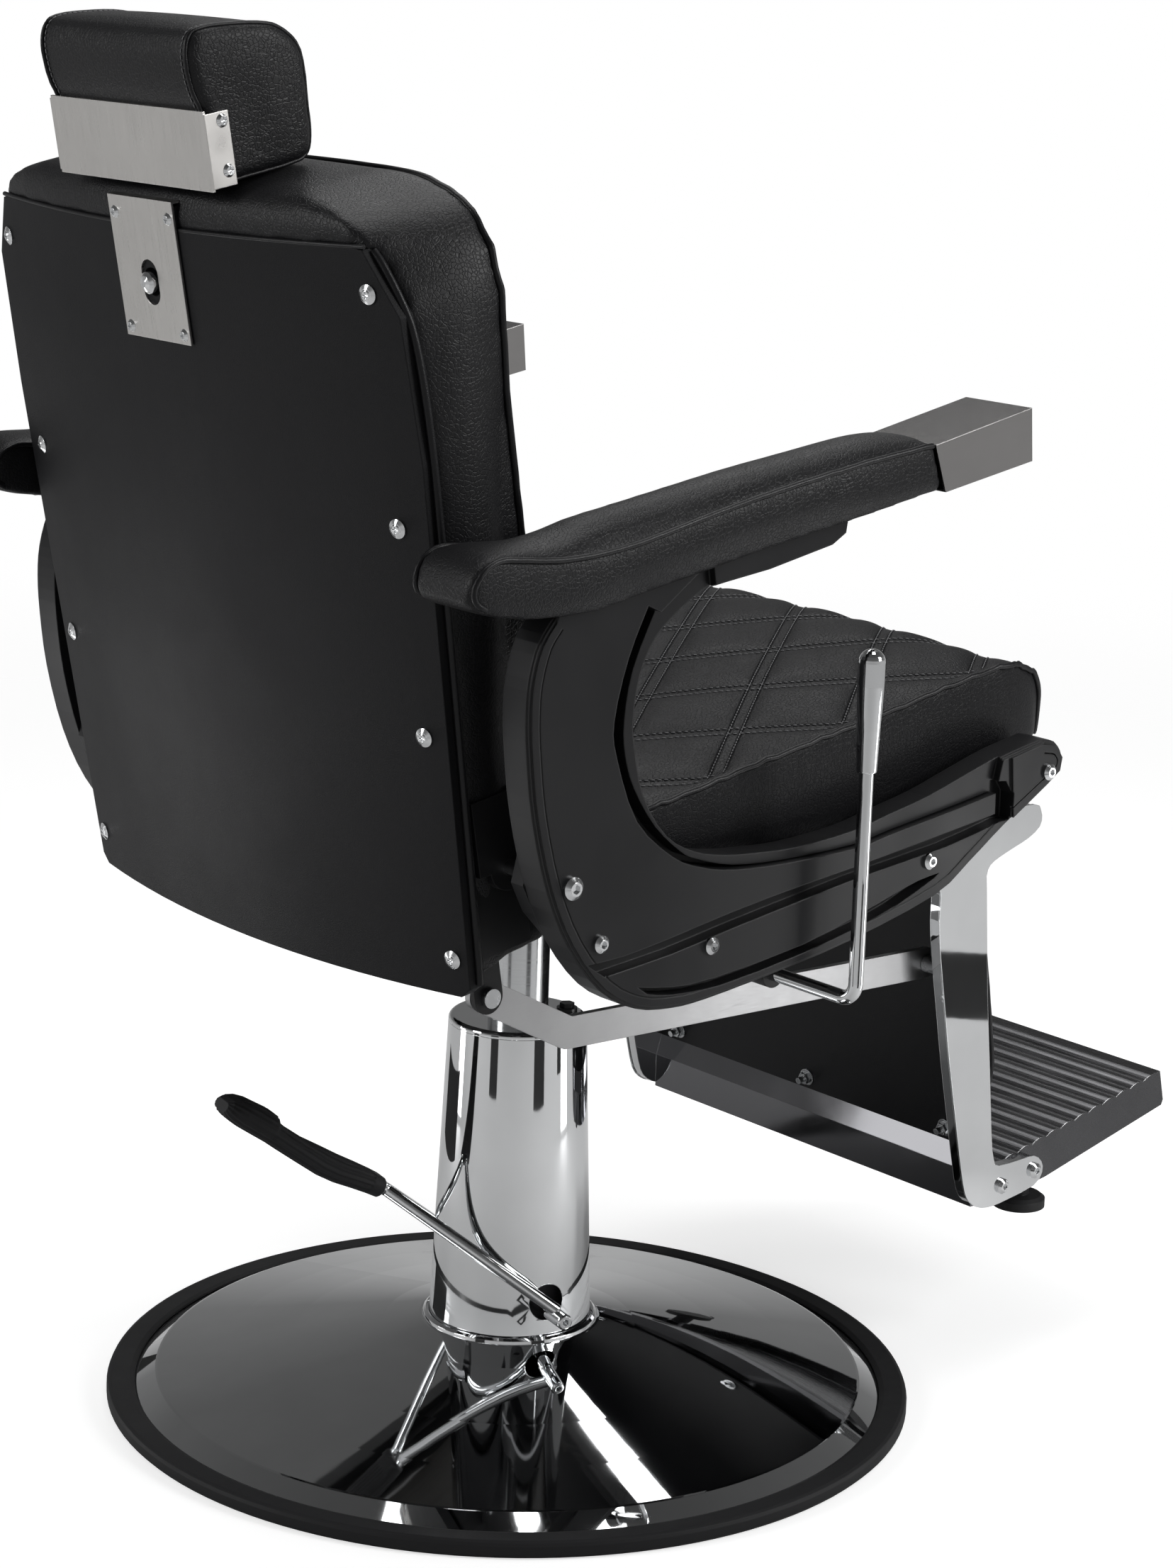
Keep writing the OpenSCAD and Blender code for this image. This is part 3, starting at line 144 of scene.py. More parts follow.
# place and size in metres, power in watts; the two strips stand low beside the base
for name, at, size, power in (
        ("lamp_right", (-2.7, -1.7, 2.3), (1.2, 1.8), 68),
        ("lamp_top", (0.3, -0.3, 3.3), (2.2, 1.4), 34),
        ("lamp_left", (1.2, 3.1, 1.9), (0.9, 2.0), 44),
        ("lamp_behind", (1.9, -1.9, 3.2), (1.2, 1.2), 12),
        ("strip_left", (0.70, 0.63, 0.26), (0.2, 0.5), 0.9),
        ("strip_right", (-0.72, -0.61, 0.26), (0.2, 0.5), 0.9)):
    lamp = bpy.data.lights.new(name, "AREA")
    lamp.shape = "RECTANGLE"
    lamp.size, lamp.size_y = size
    lamp.energy = power
    holder = bpy.data.objects.new(name, lamp)
    scene.collection.objects.link(holder)
    holder.location = at
    goal = Vector((0, 0, min(LAMP_GOAL, at[2])))
    holder.rotation_euler = (goal - Vector(at)).to_track_quat("-Z", "Y").to_euler()

bm = bmesh.new()
bmesh.ops.create_circle(bm, cap_ends=True, cap_tris=False, segments=96, radius=FLOOR_RADIUS)
floor_mesh = bpy.data.meshes.new("floor")
bm.to_mesh(floor_mesh)
bm.free()
floor = bpy.data.objects.new("floor", floor_mesh)
scene.collection.objects.link(floor)
floor.location.z = -FLOOR_DROP
card_mesh = bpy.data.meshes.new("studio_cards")
corners, quads = [], []
for turn, reach, wide, low, high in CARDS:
    a = math.radians(turn)
    for side, z in ((-1, low), (1, low), (1, high), (-1, high)):
        corners.append((reach * math.cos(a) - side * wide / 2 * math.sin(a),
                        reach * math.sin(a) + side * wide / 2 * math.cos(a), z))
    quads.append(tuple(range(len(corners) - 4, len(corners))))
card_mesh.from_pydata(corners, [], quads)
cards = bpy.data.objects.new("studio_cards", card_mesh)
scene.collection.objects.link(cards)
cards.visible_camera = cards.visible_diffuse = cards.visible_shadow = False
dark = bpy.data.materials.new("dark_card")
dark.use_nodes = True
dark.node_tree.nodes["Principled BSDF"].inputs["Base Color"].default_value = (0.02, 0.02, 0.02, 1)
card_mesh.materials.append(dark)
pale = bpy.data.materials.new("pale_floor")
pale.use_nodes = True
tree = pale.node_tree
tree.nodes.clear()
path = put(tree, "LightPath")
matt = put(tree, "BsdfDiffuse", {"Color": (FLOOR_GREY, FLOOR_GREY, FLOOR_GREY, 1)})
lift = put(tree, "Emission", {"Color": (1, 1, 1, 1), "Strength": FLOOR_GLOW})
both = put(tree, "AddShader", {}, {0: matt.outputs[0], 1: lift.outputs[0]})
lit = put(tree, "MixShader", {},
          {0: path.outputs["Is Camera Ray"], 1: matt.outputs[0], 2: both.outputs[0]})
place = put(tree, "TexCoord")
reach = put(tree, "VectorMath", {}, {0: place.outputs["Object"]}, operation="LENGTH")
fade = put(tree, "MapRange", {"From Min": 1.2, "From Max": 4.2}, {"Value": reach.outputs["Value"]},
           interpolation_type="SMOOTHSTEP")
clear = put(tree, "BsdfTransparent")
faded = put(tree, "MixShader", {}, {0: fade.outputs[0], 1: lit.outputs[0], 2: clear.outputs[0]})
put(tree, "OutputMaterial", {}, {"Surface": faded.outputs[0]})
floor_mesh.materials.append(pale)
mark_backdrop(floor, cards)

# Base: a pressed, chromed dish over a steel floor plate, with a rubber ring clipped round their rims.
# The groups here are the effects that the later finishes share.


def group(name, inputs, outputs):
    """A shader node group with named inputs and outputs; inputs are (name, kind, value)."""
    tree = bpy.data.node_groups.new(name, "ShaderNodeTree")
    for label, kind, value in inputs:
        socket = tree.interface.new_socket(label, in_out="INPUT", socket_type="NodeSocket" + kind)
        socket.default_value = value
    for label, kind in outputs:
        tree.interface.new_socket(label, in_out="OUTPUT", socket_type="NodeSocket" + kind)
    return tree, tree.nodes.new("NodeGroupInput"), tree.nodes.new("NodeGroupOutput")


def use(tree, name, values={}, links={}):
    """Places a group in a material with its own values."""
    node = tree.nodes.new("ShaderNodeGroup")
    node.node_tree = bpy.data.node_groups[name]
    for label, value in values.items():
        node.inputs[label].default_value = value
    for label, socket in links.items():
        tree.links.new(socket, node.inputs[label])
    return node


# broken edges: every real edge is rounded a little and catches the light, and the Edge mask lets a finish
# paint a highlight along the edges
tree, given, made = group("broken_edges", [("Radius", "Float", 0.0007)],
                          [("Normal", "Vector"), ("Edge", "Float")])
bevel = put(tree, "Bevel", {}, {"Radius": given.outputs["Radius"]}, samples=4)
flat = put(tree, "NewGeometry")
likeness = put(tree, "VectorMath", {}, {0: bevel.outputs[0], 1: flat.outputs["Normal"]},
               operation="DOT_PRODUCT")
edge = put(tree, "MapRange", {"From Min": 0.99, "From Max": 0.8}, {"Value": likeness.outputs["Value"]})
tree.links.new(bevel.outputs[0], made.inputs["Normal"])
tree.links.new(edge.outputs[0], made.inputs["Edge"])

# smudges: soft patches that change the polish and the tone
tree, given, made = group("smudges",
                          [("Scale", "Float", 9.0), ("Clean", "Float", 0.04), ("Smudged", "Float", 0.09),
                           ("Dark", "Color", (0.8, 0.8, 0.8, 1)), ("Light", "Color", (0.9, 0.9, 0.9, 1))],
                          [("Roughness", "Float"), ("Color", "Color")])
place = put(tree, "TexCoord")
cloud = put(tree, "TexNoise", {"Detail": 4.0, "Roughness": 0.6},
            {"Vector": place.outputs["Object"], "Scale": given.outputs["Scale"]})
spread = put(tree, "MapRange", {"From Min": 0.35, "From Max": 0.7},
             {"Value": cloud.outputs["Fac"], "To Min": given.outputs["Clean"],
              "To Max": given.outputs["Smudged"]})
tone = put(tree, "MixRGB", {}, {"Fac": cloud.outputs["Fac"], "Color1": given.outputs["Dark"],
                                "Color2": given.outputs["Light"]})
tree.links.new(spread.outputs[0], made.inputs["Roughness"])
tree.links.new(tone.outputs[0], made.inputs["Color"])

# grit: fine pitting of rubber, powder coat and sand castings
tree, given, made = group("grit", [("Scale", "Float", 900.0)], [("Height", "Float")])
place = put(tree, "TexCoord")
fine = put(tree, "TexNoise", {"Detail": 3.0},
           {"Vector": place.outputs["Object"], "Scale": given.outputs["Scale"]})
tree.links.new(fine.outputs["Fac"], made.inputs["Height"])

# brush lines: long fine scratches; Grain is the number of lines a metre along each axis
tree, given, made = group("brush_lines",
                          [("Grain", "Vector", (20, 20, 2500)), ("Low", "Float", 0.25),
                           ("High", "Float", 0.4)],
                          [("Height", "Float"), ("Roughness", "Float")])
place = put(tree, "TexCoord")
drawn = put(tree, "VectorMath", {}, {0: place.outputs["Object"], 1: given.outputs["Grain"]},
            operation="MULTIPLY")
lines = put(tree, "TexNoise", {"Scale": 1.0, "Detail": 2.0}, {"Vector": drawn.outputs[0]})
rough = put(tree, "MapRange", {"From Min": 0.3, "From Max": 0.7},
            {"Value": lines.outputs["Fac"], "To Min": given.outputs["Low"], "To Max": given.outputs["High"]})
tree.links.new(lines.outputs["Fac"], made.inputs["Height"])
tree.links.new(rough.outputs[0], made.inputs["Roughness"])


DARKER, LIGHTER = 0.88, 1.12


def finish(name, colour, rough, metallic=0.0, specular=0.5, tones=None, grain=None, bump=(0.1, 0.0002),
           more=None, scale=9.0, edge=0.0007, edge_highlight_paint=0.0):
    """A Principled material: tones and polish from smudges, height from grain groups, rounded edges.

    rough is the roughness where clean and where smudged, bump the strength and the distance of the grain. The
    edges are painted paler by the last argument, as a painted highlight.
    """
    material = bpy.data.materials.new(name)
    material.use_nodes = True
    tree = material.node_tree
    tree.nodes.clear()
    shader = put(tree, "BsdfPrincipled", {"Metallic": metallic, "Specular IOR Level": specular})
    dark, light = tones or ([c * DARKER for c in colour], [min(1, c * LIGHTER) for c in colour])
    patch = use(tree, "smudges", {"Scale": scale, "Clean": rough[0], "Smudged": rough[1],
                                  "Dark": (*dark, 1), "Light": (*light, 1)})
    tree.links.new(patch.outputs["Roughness"], shader.inputs["Roughness"])
    if edge:
        rim = use(tree, "broken_edges", {"Radius": edge})
        # painted highlight: the rounded edges are painted paler than the surface's own colour
        painted_edge_highlight = put(tree, "MixRGB", {"Color2": (*[min(1, c + edge_highlight_paint) for c in colour], 1)},
                   {"Fac": rim.outputs["Edge"], "Color1": patch.outputs["Color"]})
        tree.links.new(painted_edge_highlight.outputs[0], shader.inputs["Base Color"])
        normal = rim.outputs["Normal"]
    else:
        tree.links.new(patch.outputs["Color"], shader.inputs["Base Color"])
        normal = put(tree, "NewGeometry").outputs["Normal"]
    reliefs = ([(*grain, *bump)] if grain else []) + ([more] if more else [])
    for source, values, strength, distance in reliefs:
        relief = use(tree, source, values)
        if "Roughness" in relief.outputs:
            tree.links.new(relief.outputs["Roughness"], shader.inputs["Roughness"])
        raised = put(tree, "Bump", {"Strength": strength, "Distance": distance},
                     {"Height": relief.outputs["Height"], "Normal": normal})
        normal = raised.outputs[0]
    tree.links.new(normal, shader.inputs["Normal"])
    put(tree, "OutputMaterial", {}, {"Surface": shader.outputs[0]})
    return material


def dress(material, *names):
    """Gives CAD nodes their material."""
    for name in names:
        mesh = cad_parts[name].data
        mesh.materials.clear()
        mesh.materials.append(material)


chrome = finish("chrome", (0.80, 0.81, 0.82), (0.015, 0.05), metallic=1.0, edge=0.0009,
                grain=("grit", {"Scale": 11.0}), bump=(0.04, 0.0012))
rubber = finish("black_rubber", (0.014, 0.014, 0.015), (0.5, 0.68), specular=0.25,
                grain=("grit", {"Scale": 1300.0}), bump=(0.25, 0.0003), edge=0.0012)
floor_steel = finish("floor_steel", (0.22, 0.22, 0.23), (0.4, 0.6), metallic=0.9,
                     grain=("grit", {"Scale": 400.0}), bump=(0.2, 0.0003))
dress(rubber, "base_ring")
dress(chrome, "base_dish")
dress(floor_steel, "base_plate")

# Column and pump: a tapered chrome sleeve with a pressed cap over the pump that is bolted to the plate.
# The pump is a grey iron casting with a honed tube, closed by a black gland nut.
zinc_steel = finish("zinc_steel", (0.55, 0.56, 0.57), (0.16, 0.34), metallic=1.0, scale=60.0)
pump_iron = finish("pump_iron", (0.16, 0.16, 0.17), (0.55, 0.8), metallic=0.6,
                   grain=("grit", {"Scale": 700.0}), bump=(0.5, 0.0006))
black_cap = finish("black_cap", (0.02, 0.02, 0.02), (0.3, 0.45), grain=("grit", {"Scale": 900.0}))
turned_steel = finish("turned_steel", (0.62, 0.63, 0.64), (0.12, 0.22), metallic=1.0,
                      grain=("brush_lines", {"Grain": (20, 20, 3500), "Low": 0.1, "High": 0.24}),
                      bump=(0.06, 0.0001))
dress(chrome, "column_sleeve", "sleeve_cap")
dress(zinc_steel, "base_bolts", "pump_plunger")
dress(pump_iron, "pump_block")
dress(black_cap, "filler_cap", "cylinder_gland")
dress(turned_steel, "pump_cylinder", "piston")

# Pedal: two bent chrome rods, pressed on the ends of the shaft that crosses the pump foot.
# Their other ends share a moulded rubber pad with flutes, which the barber steps on to raise the chair.
dress(chrome, "pump_shaft", "pedal_rod_right", "pedal_rod_left")
dress(rubber, "pedal_pad")

# Seat frame: rails and crossbars of flat steel, welded and powder coated black, on a cast hub that turns
# on the piston. A plywood board, stained black, is screwed on it and carries the cushion.
# its edges are painted a little paler, as a painted highlight
frame_black = finish("frame_black", (0.012, 0.012, 0.013), (0.36, 0.5), specular=0.26,
                     grain=("grit", {"Scale": 1100.0}), bump=(0.25, 0.0003), edge_highlight_paint=0.02)
plywood = finish("plywood", (0.02, 0.018, 0.016), (0.55, 0.7),
                 tones=((0.013, 0.012, 0.011), (0.028, 0.025, 0.022)),
                 grain=("brush_lines", {"Grain": (300, 12, 900), "Low": 0.5, "High": 0.7}),
                 bump=(0.2, 0.0004))
dress(frame_black, "swivel_hub", "seat_frame")
dress(plywood, "seat_board")

# Seat cushion: grained black vinyl sewn over foam, quilted in lozenges by bands between two rows of stitches.
# It wraps over the nose, and a piped seam joins it to the side panels.

# hide: the pebbled grain of the vinyl, small cells with creases between them
tree, given, made = group("hide", [("Scale", "Float", 330.0), ("Crease", "Float", 0.16)],
                          [("Height", "Float")])
place = put(tree, "TexCoord")
drift = put(tree, "TexNoise", {"Scale": 60.0, "Detail": 2.0}, {"Vector": place.outputs["Object"]})
moved = put(tree, "VectorMath", {1: (0.006, 0.006, 0.006)}, {0: drift.outputs["Color"]},
            operation="MULTIPLY")
bent = put(tree, "VectorMath", {}, {0: place.outputs["Object"], 1: moved.outputs[0]}, operation="ADD")
cells = put(tree, "TexVoronoi", {}, {"Vector": bent.outputs[0], "Scale": given.outputs["Scale"]},
            feature="DISTANCE_TO_EDGE")
crease = put(tree, "MapRange", {"From Min": 0.0},
             {"Value": cells.outputs["Distance"], "From Max": given.outputs["Crease"]},
             interpolation_type="SMOOTHSTEP")
pores = put(tree, "TexNoise", {"Scale": 1500.0, "Detail": 2.0}, {"Vector": place.outputs["Object"]})
grain = put(tree, "Math", {1: 0.25}, {0: pores.outputs["Fac"], 2: crease.outputs[0]},
            operation="MULTIPLY_ADD")
tree.links.new(grain.outputs[0], made.inputs["Height"])

# quilt_seams: the pinched line under every row of stitches, two rows to each band.
# The lozenges cross at QUILT_START on the middle line, and fade out at QUILT_SIDE, in metres.
QUILT_X, QUILT_Y, QUILT_START, BAND = 110, 146, -180, 5.0
QUILT_SIDE = {"From Min": 0.276, "From Max": 0.268}
LINE_GAP = QUILT_X * QUILT_Y / math.hypot(QUILT_X, QUILT_Y)


def calc(tree, operation, *terms):
    """One sum on sockets and numbers."""
    node = put(tree, "Math", operation=operation)
    for slot, term in zip(node.inputs, terms):
        if isinstance(term, (int, float)):
            slot.default_value = term
        else:
            tree.links.new(term, slot)
    return node.outputs[0]


tree, given, made = group("quilt_seams", [("Width", "Float", 0.0012)], [("Height", "Float")])
place = put(tree, "TexCoord")
across, along, height = put(tree, "SeparateXYZ", {}, {0: place.outputs["Object"]}).outputs
deepest = 0.0
for side in (1, -1):
    count = calc(tree, "MULTIPLY_ADD", along, 1 / (QUILT_Y * MM), -QUILT_START / QUILT_Y)
    count = calc(tree, "MULTIPLY_ADD", across, side / (QUILT_X * MM), count)
    off = calc(tree, "ABSOLUTE", calc(tree, "SUBTRACT", count, calc(tree, "ROUND", count)))
    gap = calc(tree, "MULTIPLY_ADD", off, LINE_GAP * MM, -BAND * MM)
    gap = calc(tree, "DIVIDE", gap, given.outputs["Width"])
    dent = calc(tree, "EXPONENT", calc(tree, "MULTIPLY", calc(tree, "MULTIPLY", gap, gap), -1.0))
    deepest = calc(tree, "MAXIMUM", deepest, dent)
inside = put(tree, "MapRange", QUILT_SIDE, {"Value": calc(tree, "ABSOLUTE", across)})
sunk = calc(tree, "MULTIPLY", inside.outputs[0], -1.0)
tree.links.new(calc(tree, "MULTIPLY_ADD", deepest, sunk, 1.0), made.inputs["Height"])

VINYL = dict(colour=(0.0085, 0.0085, 0.0095), rough=(0.38, 0.5), specular=0.24, scale=7.0, edge=0,
             grain=("hide", {"Scale": 300.0, "Crease": 0.16}), bump=(0.32, 0.0006))
vinyl = finish("grained_vinyl", **VINYL)
quilted_vinyl = finish("quilted_vinyl", more=("quilt_seams", {}, 1.0, 0.0011), **{**VINYL, "specular": 0.17})
piping_vinyl = finish("piping_vinyl", (0.007, 0.007, 0.008), (0.3, 0.42), specular=0.26, edge=0,
                      grain=("hide", {"Scale": 700.0, "Crease": 0.2}), bump=(0.2, 0.0003))
thread = finish("thread", (0.15, 0.15, 0.155), (0.5, 0.65), specular=0.4, scale=300.0, edge=0,
                grain=("grit", {"Scale": 3000.0}), bump=(0.4, 0.0002))


CLOTH_FRAMES, EVEN_ROUNDS = 20, 10
STITCH_LONG, STITCH_RADIUS, STITCH_SUNK, STITCH_SIDES = 3.7, 0.5, 0.05, 6
# share of the length, share of the radius and lift of each ring of a stitch
STITCH_RINGS = ((-0.5, 0.25, -0.5), (-0.3, 1, 0), (0.3, 1, 0), (0.5, 0.25, -0.5))


def smooth_rows(rows, per):
    """Adds rows on a smooth curve between the rows of a table."""
    out = []
    for i in range(len(rows) - 1):
        near = rows[max(i - 1, 0)], rows[i], rows[i + 1], rows[min(i + 2, len(rows) - 1)]
        for j in range(per):
            t = j / per
            out.append([0.5 * (2 * b + (c - a) * t + (2 * a - 5 * b + 4 * c - d) * t * t
                               + (3 * b - a - 3 * c + d) * t ** 3) for a, b, c, d in zip(*near)])
    return out + [list(rows[-1])]


def piece_of(name, points, faces, material):
    """A mesh object from points in metres."""
    mesh = bpy.data.meshes.new(name)
    mesh.from_pydata(points, [], faces)
    mesh.materials.append(material)
    bm = bmesh.new()
    bm.from_mesh(mesh)
    bmesh.ops.recalc_face_normals(bm, faces=bm.faces)
    bm.to_mesh(mesh)
    bm.free()
    mesh.shade_smooth()
    piece = bpy.data.objects.new(name, mesh)
    scene.collection.objects.link(piece)
    return piece


def skin(name, rings, material):
    """Closed skin through rings of points in millimetres."""
    count, last = len(rings[0]), len(rings) - 1
    points = [Vector(p) * MM for ring in rings for p in ring]
    faces = [(j * count + i, j * count + (i + 1) % count,
              (j + 1) * count + (i + 1) % count, (j + 1) * count + i)
             for j in range(last) for i in range(count)]
    faces += [tuple(reversed(range(count))), tuple(range(last * count, (last + 1) * count))]
    return piece_of(name, points, faces, material)


def meshed(piece):
    """The mesh of a piece as its modifiers or its curve settings make it."""
    bpy.context.view_layer.update()
    return bpy.data.meshes.new_from_object(piece.evaluated_get(bpy.context.evaluated_depsgraph_get()))


def settle(piece):
    """Applies the modifiers of a piece."""
    made = meshed(piece)
    piece.modifiers.clear()
    piece.data = made
    made.shade_smooth()


def stuff(piece, voxel, reach, held, seams):
    """Even skin of voxel size, blown up by cloth pressure.

    The cloth pins the points at seams and those that held names. The moves are then evened out,
    and none is longer than reach.
    """
    weave = piece.modifiers.new("weave", "REMESH")
    weave.mode = "VOXEL"
    weave.voxel_size = voxel * MM
    settle(piece)
    rest = [v.co.copy() for v in piece.data.vertices]
    sewn = KDTree(len(seams))
    for i, p in enumerate(seams):
        sewn.insert(Vector(p) * MM, i)
    sewn.balance()
    keep = piece.vertex_groups.new(name="held")
    keep.add([i for i, p in enumerate(rest)
              if held(p / MM) or sewn.find(p)[2] < 0.9 * voxel * MM], 1.0, "ADD")
    filling = piece.modifiers.new("filling", "CLOTH")
    cloth = filling.settings
    cloth.quality = 4
    cloth.mass = 0.3
    cloth.tension_stiffness = cloth.compression_stiffness = 12
    cloth.shear_stiffness = 6
    cloth.bending_stiffness = 0.6
    cloth.use_pressure = True
    cloth.uniform_pressure_force = 4
    cloth.effector_weights.gravity = 0
    cloth.vertex_group_mass = "held"
    filling.point_cache.frame_start, filling.point_cache.frame_end = 1, CLOTH_FRAMES
    for step in range(1, CLOTH_FRAMES + 1):
        scene.frame_set(step)
    settle(piece)
    scene.frame_set(1)
    moves = np.array([v.co - p for v, p in zip(piece.data.vertices, rest)])
    ends = np.array([edge.vertices[:] for edge in piece.data.edges])
    share = np.bincount(ends.ravel(), minlength=len(rest))[:, None]
    for turn in range(EVEN_ROUNDS):
        near = np.zeros_like(moves)
        np.add.at(near, ends[:, 0], moves[ends[:, 1]])
        np.add.at(near, ends[:, 1], moves[ends[:, 0]])
        moves = 0.3 * moves + 0.7 * near / share
    far = np.maximum(np.linalg.norm(moves, axis=1, keepdims=True) / (reach * MM), 1)
    for v, p, move in zip(piece.data.vertices, rest, moves / far):
        v.co = p + Vector(move)
    piece.vertex_groups.clear()
    smooth = piece.modifiers.new("smooth", "SUBSURF")
    smooth.levels = smooth.render_levels = 1
    settle(piece)
    return piece


def surface(piece):
    """Search tree of a finished skin."""
    bm = bmesh.new()
    bm.from_mesh(piece.data)
    tree = BVHTree.FromBMesh(bm)
    bm.free()
    return tree


def piping(name, points, radius, body, closed=False):
    """Round piping along points in metres; the radius is in millimetres."""
    curve = bpy.data.curves.new(name, "CURVE")
    curve.dimensions = "3D"
    curve.bevel_depth = radius * MM
    curve.bevel_resolution = 3
    curve.resolution_u = 2
    spline = curve.splines.new("POLY")
    spline.points.add(len(points) - 1)
    for knot, p in zip(spline.points, points):
        knot.co = (*p, 1)
    spline.use_cyclic_u = closed
    curve.use_fill_caps = True
    curve.materials.append(piping_vinyl)
    wire = bpy.data.objects.new(name, curve)
    scene.collection.objects.link(wire)
    mesh = meshed(wire)
    bpy.data.objects.remove(wire)
    piece = bpy.data.objects.new(name, mesh)
    scene.collection.objects.link(piece)
    mesh.shade_smooth()
    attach(piece, body)


def laid(points, cover, lift):
    """Points in millimetres moved to the nearest place on a skin, and lifted off it."""
    out = []
    for p in points:
        at, normal = cover.find_nearest(Vector(p) * MM)[:2]
        out.append(at + normal * lift * MM)
    return out


def even(points, pitch):
    """Points at an even pitch, in metres, along a path; a closed path repeats its first point."""
    out, left = [points[0]], pitch
    for a, b in zip(points, points[1:]):
        length = (b - a).length
        while length > left:
            a = a.lerp(b, left / length)
            out.append(a)
            length, left = (b - a).length, pitch
        left -= length
    return out


def stitches(name, runs, cover, body, pitch=5.2):
    """Rows of separate thread stitches that lie on a skin, along paths in metres."""
    points, faces = [], []
    for run in runs:
        knots = even(run, pitch * MM)
        for a, b in zip(knots, knots[1:]):
            along = (b - a).normalized()
            at, normal = cover.find_nearest((a + b) / 2)[:2]
            across = along.cross(normal).normalized()
            rise = across.cross(along)
            middle = at + rise * (STITCH_RADIUS - STITCH_SUNK) * MM
            start = len(points)
            for t, r, h in STITCH_RINGS:
                for k in range(STITCH_SIDES):
                    turn = k * math.tau / STITCH_SIDES
                    way = across * math.cos(turn) + rise * math.sin(turn)
                    points.append(middle + along * t * STITCH_LONG * MM + rise * h * STITCH_RADIUS * MM
                                  + way * r * STITCH_RADIUS * MM)
            for ring in range(len(STITCH_RINGS) - 1):
                near = start + ring * STITCH_SIDES
                far = near + STITCH_SIDES
                for k in range(STITCH_SIDES):
                    after = (k + 1) % STITCH_SIDES
                    faces.append((near + k, near + after, far + after, far + k))
            faces += [tuple(start + k for k in reversed(range(STITCH_SIDES))),
                      tuple(far + k for k in range(STITCH_SIDES))]
    piece = piece_of(name, points, faces, thread)
    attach(piece, body)


SEAT_HALF = 283
# y, half width, height of the side seam, crown, underside
seat_rows = smooth_rows(
    [[126, 276, 586, 0, 554], [119, 280, 595, 3, 549], [107, 281, 600, 5, 548], [70, 281, 606, 7, 548],
     [30, 281, 613, 8, 548], [-20, 281, 622, 9, 548], [-70, 281, 631, 9, 548], [-130, 281, 641, 9, 548],
     [-190, 281, 652, 7, 548], [-250, 281, 662, 5, 550], [-290, 281, 666, 3, 566], [-313, 279, 662, 2, 577],
     [-332, 274, 651, 1, 586], [-344, 266, 633, 0, 591], [-350, 254, 613, 0, 598]], 5)


def seat_ring(row):
    """One section of the seat cushion across the chair."""
    y, half, side, crown, under = row
    tall = side - under
    top = [(half * (1 - i / 14), y, side + crown * (1 - (1 - i / 14) ** 2)) for i in range(29)]
    left = [(-half - 0.5, y, side - tall * t) for t in (0.3, 0.55, 0.8)]
    below = [((i / 6 - 1) * (half - 5), y, under) for i in range(13)]
    return top + left + below + [(half + 0.5, y, side - tall * t) for t in (0.8, 0.55, 0.3)]


# y, x and z of the piped side seam
seat_edge = smooth_rows(
    [[122, 278, 597], [107, 282.5, 601], [60, 283, 609], [0, 283, 620], [-70, 283, 632],
     [-140, 283, 644.5], [-210, 283, 657], [-270, 283, 667], [-295, 282.5, 669], [-313, 282, 665],
     [-332, 278, 654], [-347, 270, 628], [-352, 264, 596]], 6)
seat_seams = [(s * x, y, z) for y, x, z in seat_edge for s in (-1, 1)]
seat = stuff(skin("seat_cushion_cover", [seat_ring(r) for r in seat_rows], quilted_vinyl), 5.0, 7,
             lambda p: p.z < 556 or (p.y > 118 and p.z < 575), seat_seams)
PAD_RUN, PAD_RISE, BAND_DEEP = 26, 2.7, 2.3
SIDE_PLAIN, SIDE_FADE = 8, 9
NOSE_Y, NOSE_FADE = -348, 14
TOP_TILT, TILT_FADE = 0.35, 0.25


def band_gap(value):
    """Distance in millimetres from the nearest line of a quilting family."""
    return abs(value - round(value)) * LINE_GAP


def quilt_depth(x, y):
    """Height of the quilted top over the smooth one: flat sunk bands, full pads between them."""
    edge = min(1, max(0, (SEAT_HALF - SIDE_PLAIN - abs(x)) / SIDE_FADE))
    edge *= min(1, max(0, (y - NOSE_Y) / NOSE_FADE))
    one = band_gap((y - QUILT_START) / QUILT_Y - x / QUILT_X)
    two = band_gap((y - QUILT_START) / QUILT_Y + x / QUILT_X)

    def pad(d):
        """How full a pad is at a distance from its nearest line, from 0 to 1."""
        t = min(1, max(0, (d - BAND) / PAD_RUN))
        return 1 - (1 - t) ** 3
    return edge * (PAD_RISE * pad(one) * pad(two) - BAND_DEEP)


seat_mesh = seat.data
for v, way in [(v, v.normal.copy()) for v in seat_mesh.vertices]:
    if way.z > TOP_TILT:
        v.co += way * quilt_depth(v.co.x / MM, v.co.y / MM) * MM * min(1, (way.z - TOP_TILT) / TILT_FADE)
seat_mesh.update()
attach(seat, "seat")
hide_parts("seat_cushion")
seat_skin = surface(seat)
for side, label in ((-1, "right"), (1, "left")):
    path = laid([(side * x, y, z) for y, x, z in seat_edge], seat_skin, 1.6)
    piping("seat_piping_" + label, path, 2.5, "seat")
STITCH_STEP, STITCH_FRONT, STITCH_REAR = 2.0, -338, 116
BAND_SLANT = 1.66  # half a band measured along the chair, over half a band measured square


def on_top(x, y):
    """The quilted top under a point of the plan, or None off it."""
    at, normal = seat_skin.ray_cast(Vector((x, y, 800)) * MM, Vector((0, 0, -1)))[:2]
    return at if at and normal.z > 0.3 else None


rows = []
for slope in (1, -1):
    for k in range(-8, 9):
        for shift in (-BAND, BAND):
            run = []
            for i in range(-136, 137):
                x = i * STITCH_STEP
                y = QUILT_START + QUILT_Y * k + slope * QUILT_Y / QUILT_X * x + shift * BAND_SLANT
                at = on_top(x, y) if STITCH_FRONT < y < STITCH_REAR else None
                if at:
                    run.append(at)
                else:
                    rows.append(run)
                    run = []
            rows.append(run)
stitches("seat_quilt_stitches", [run for run in rows if len(run) > 4], seat_skin, "seat")
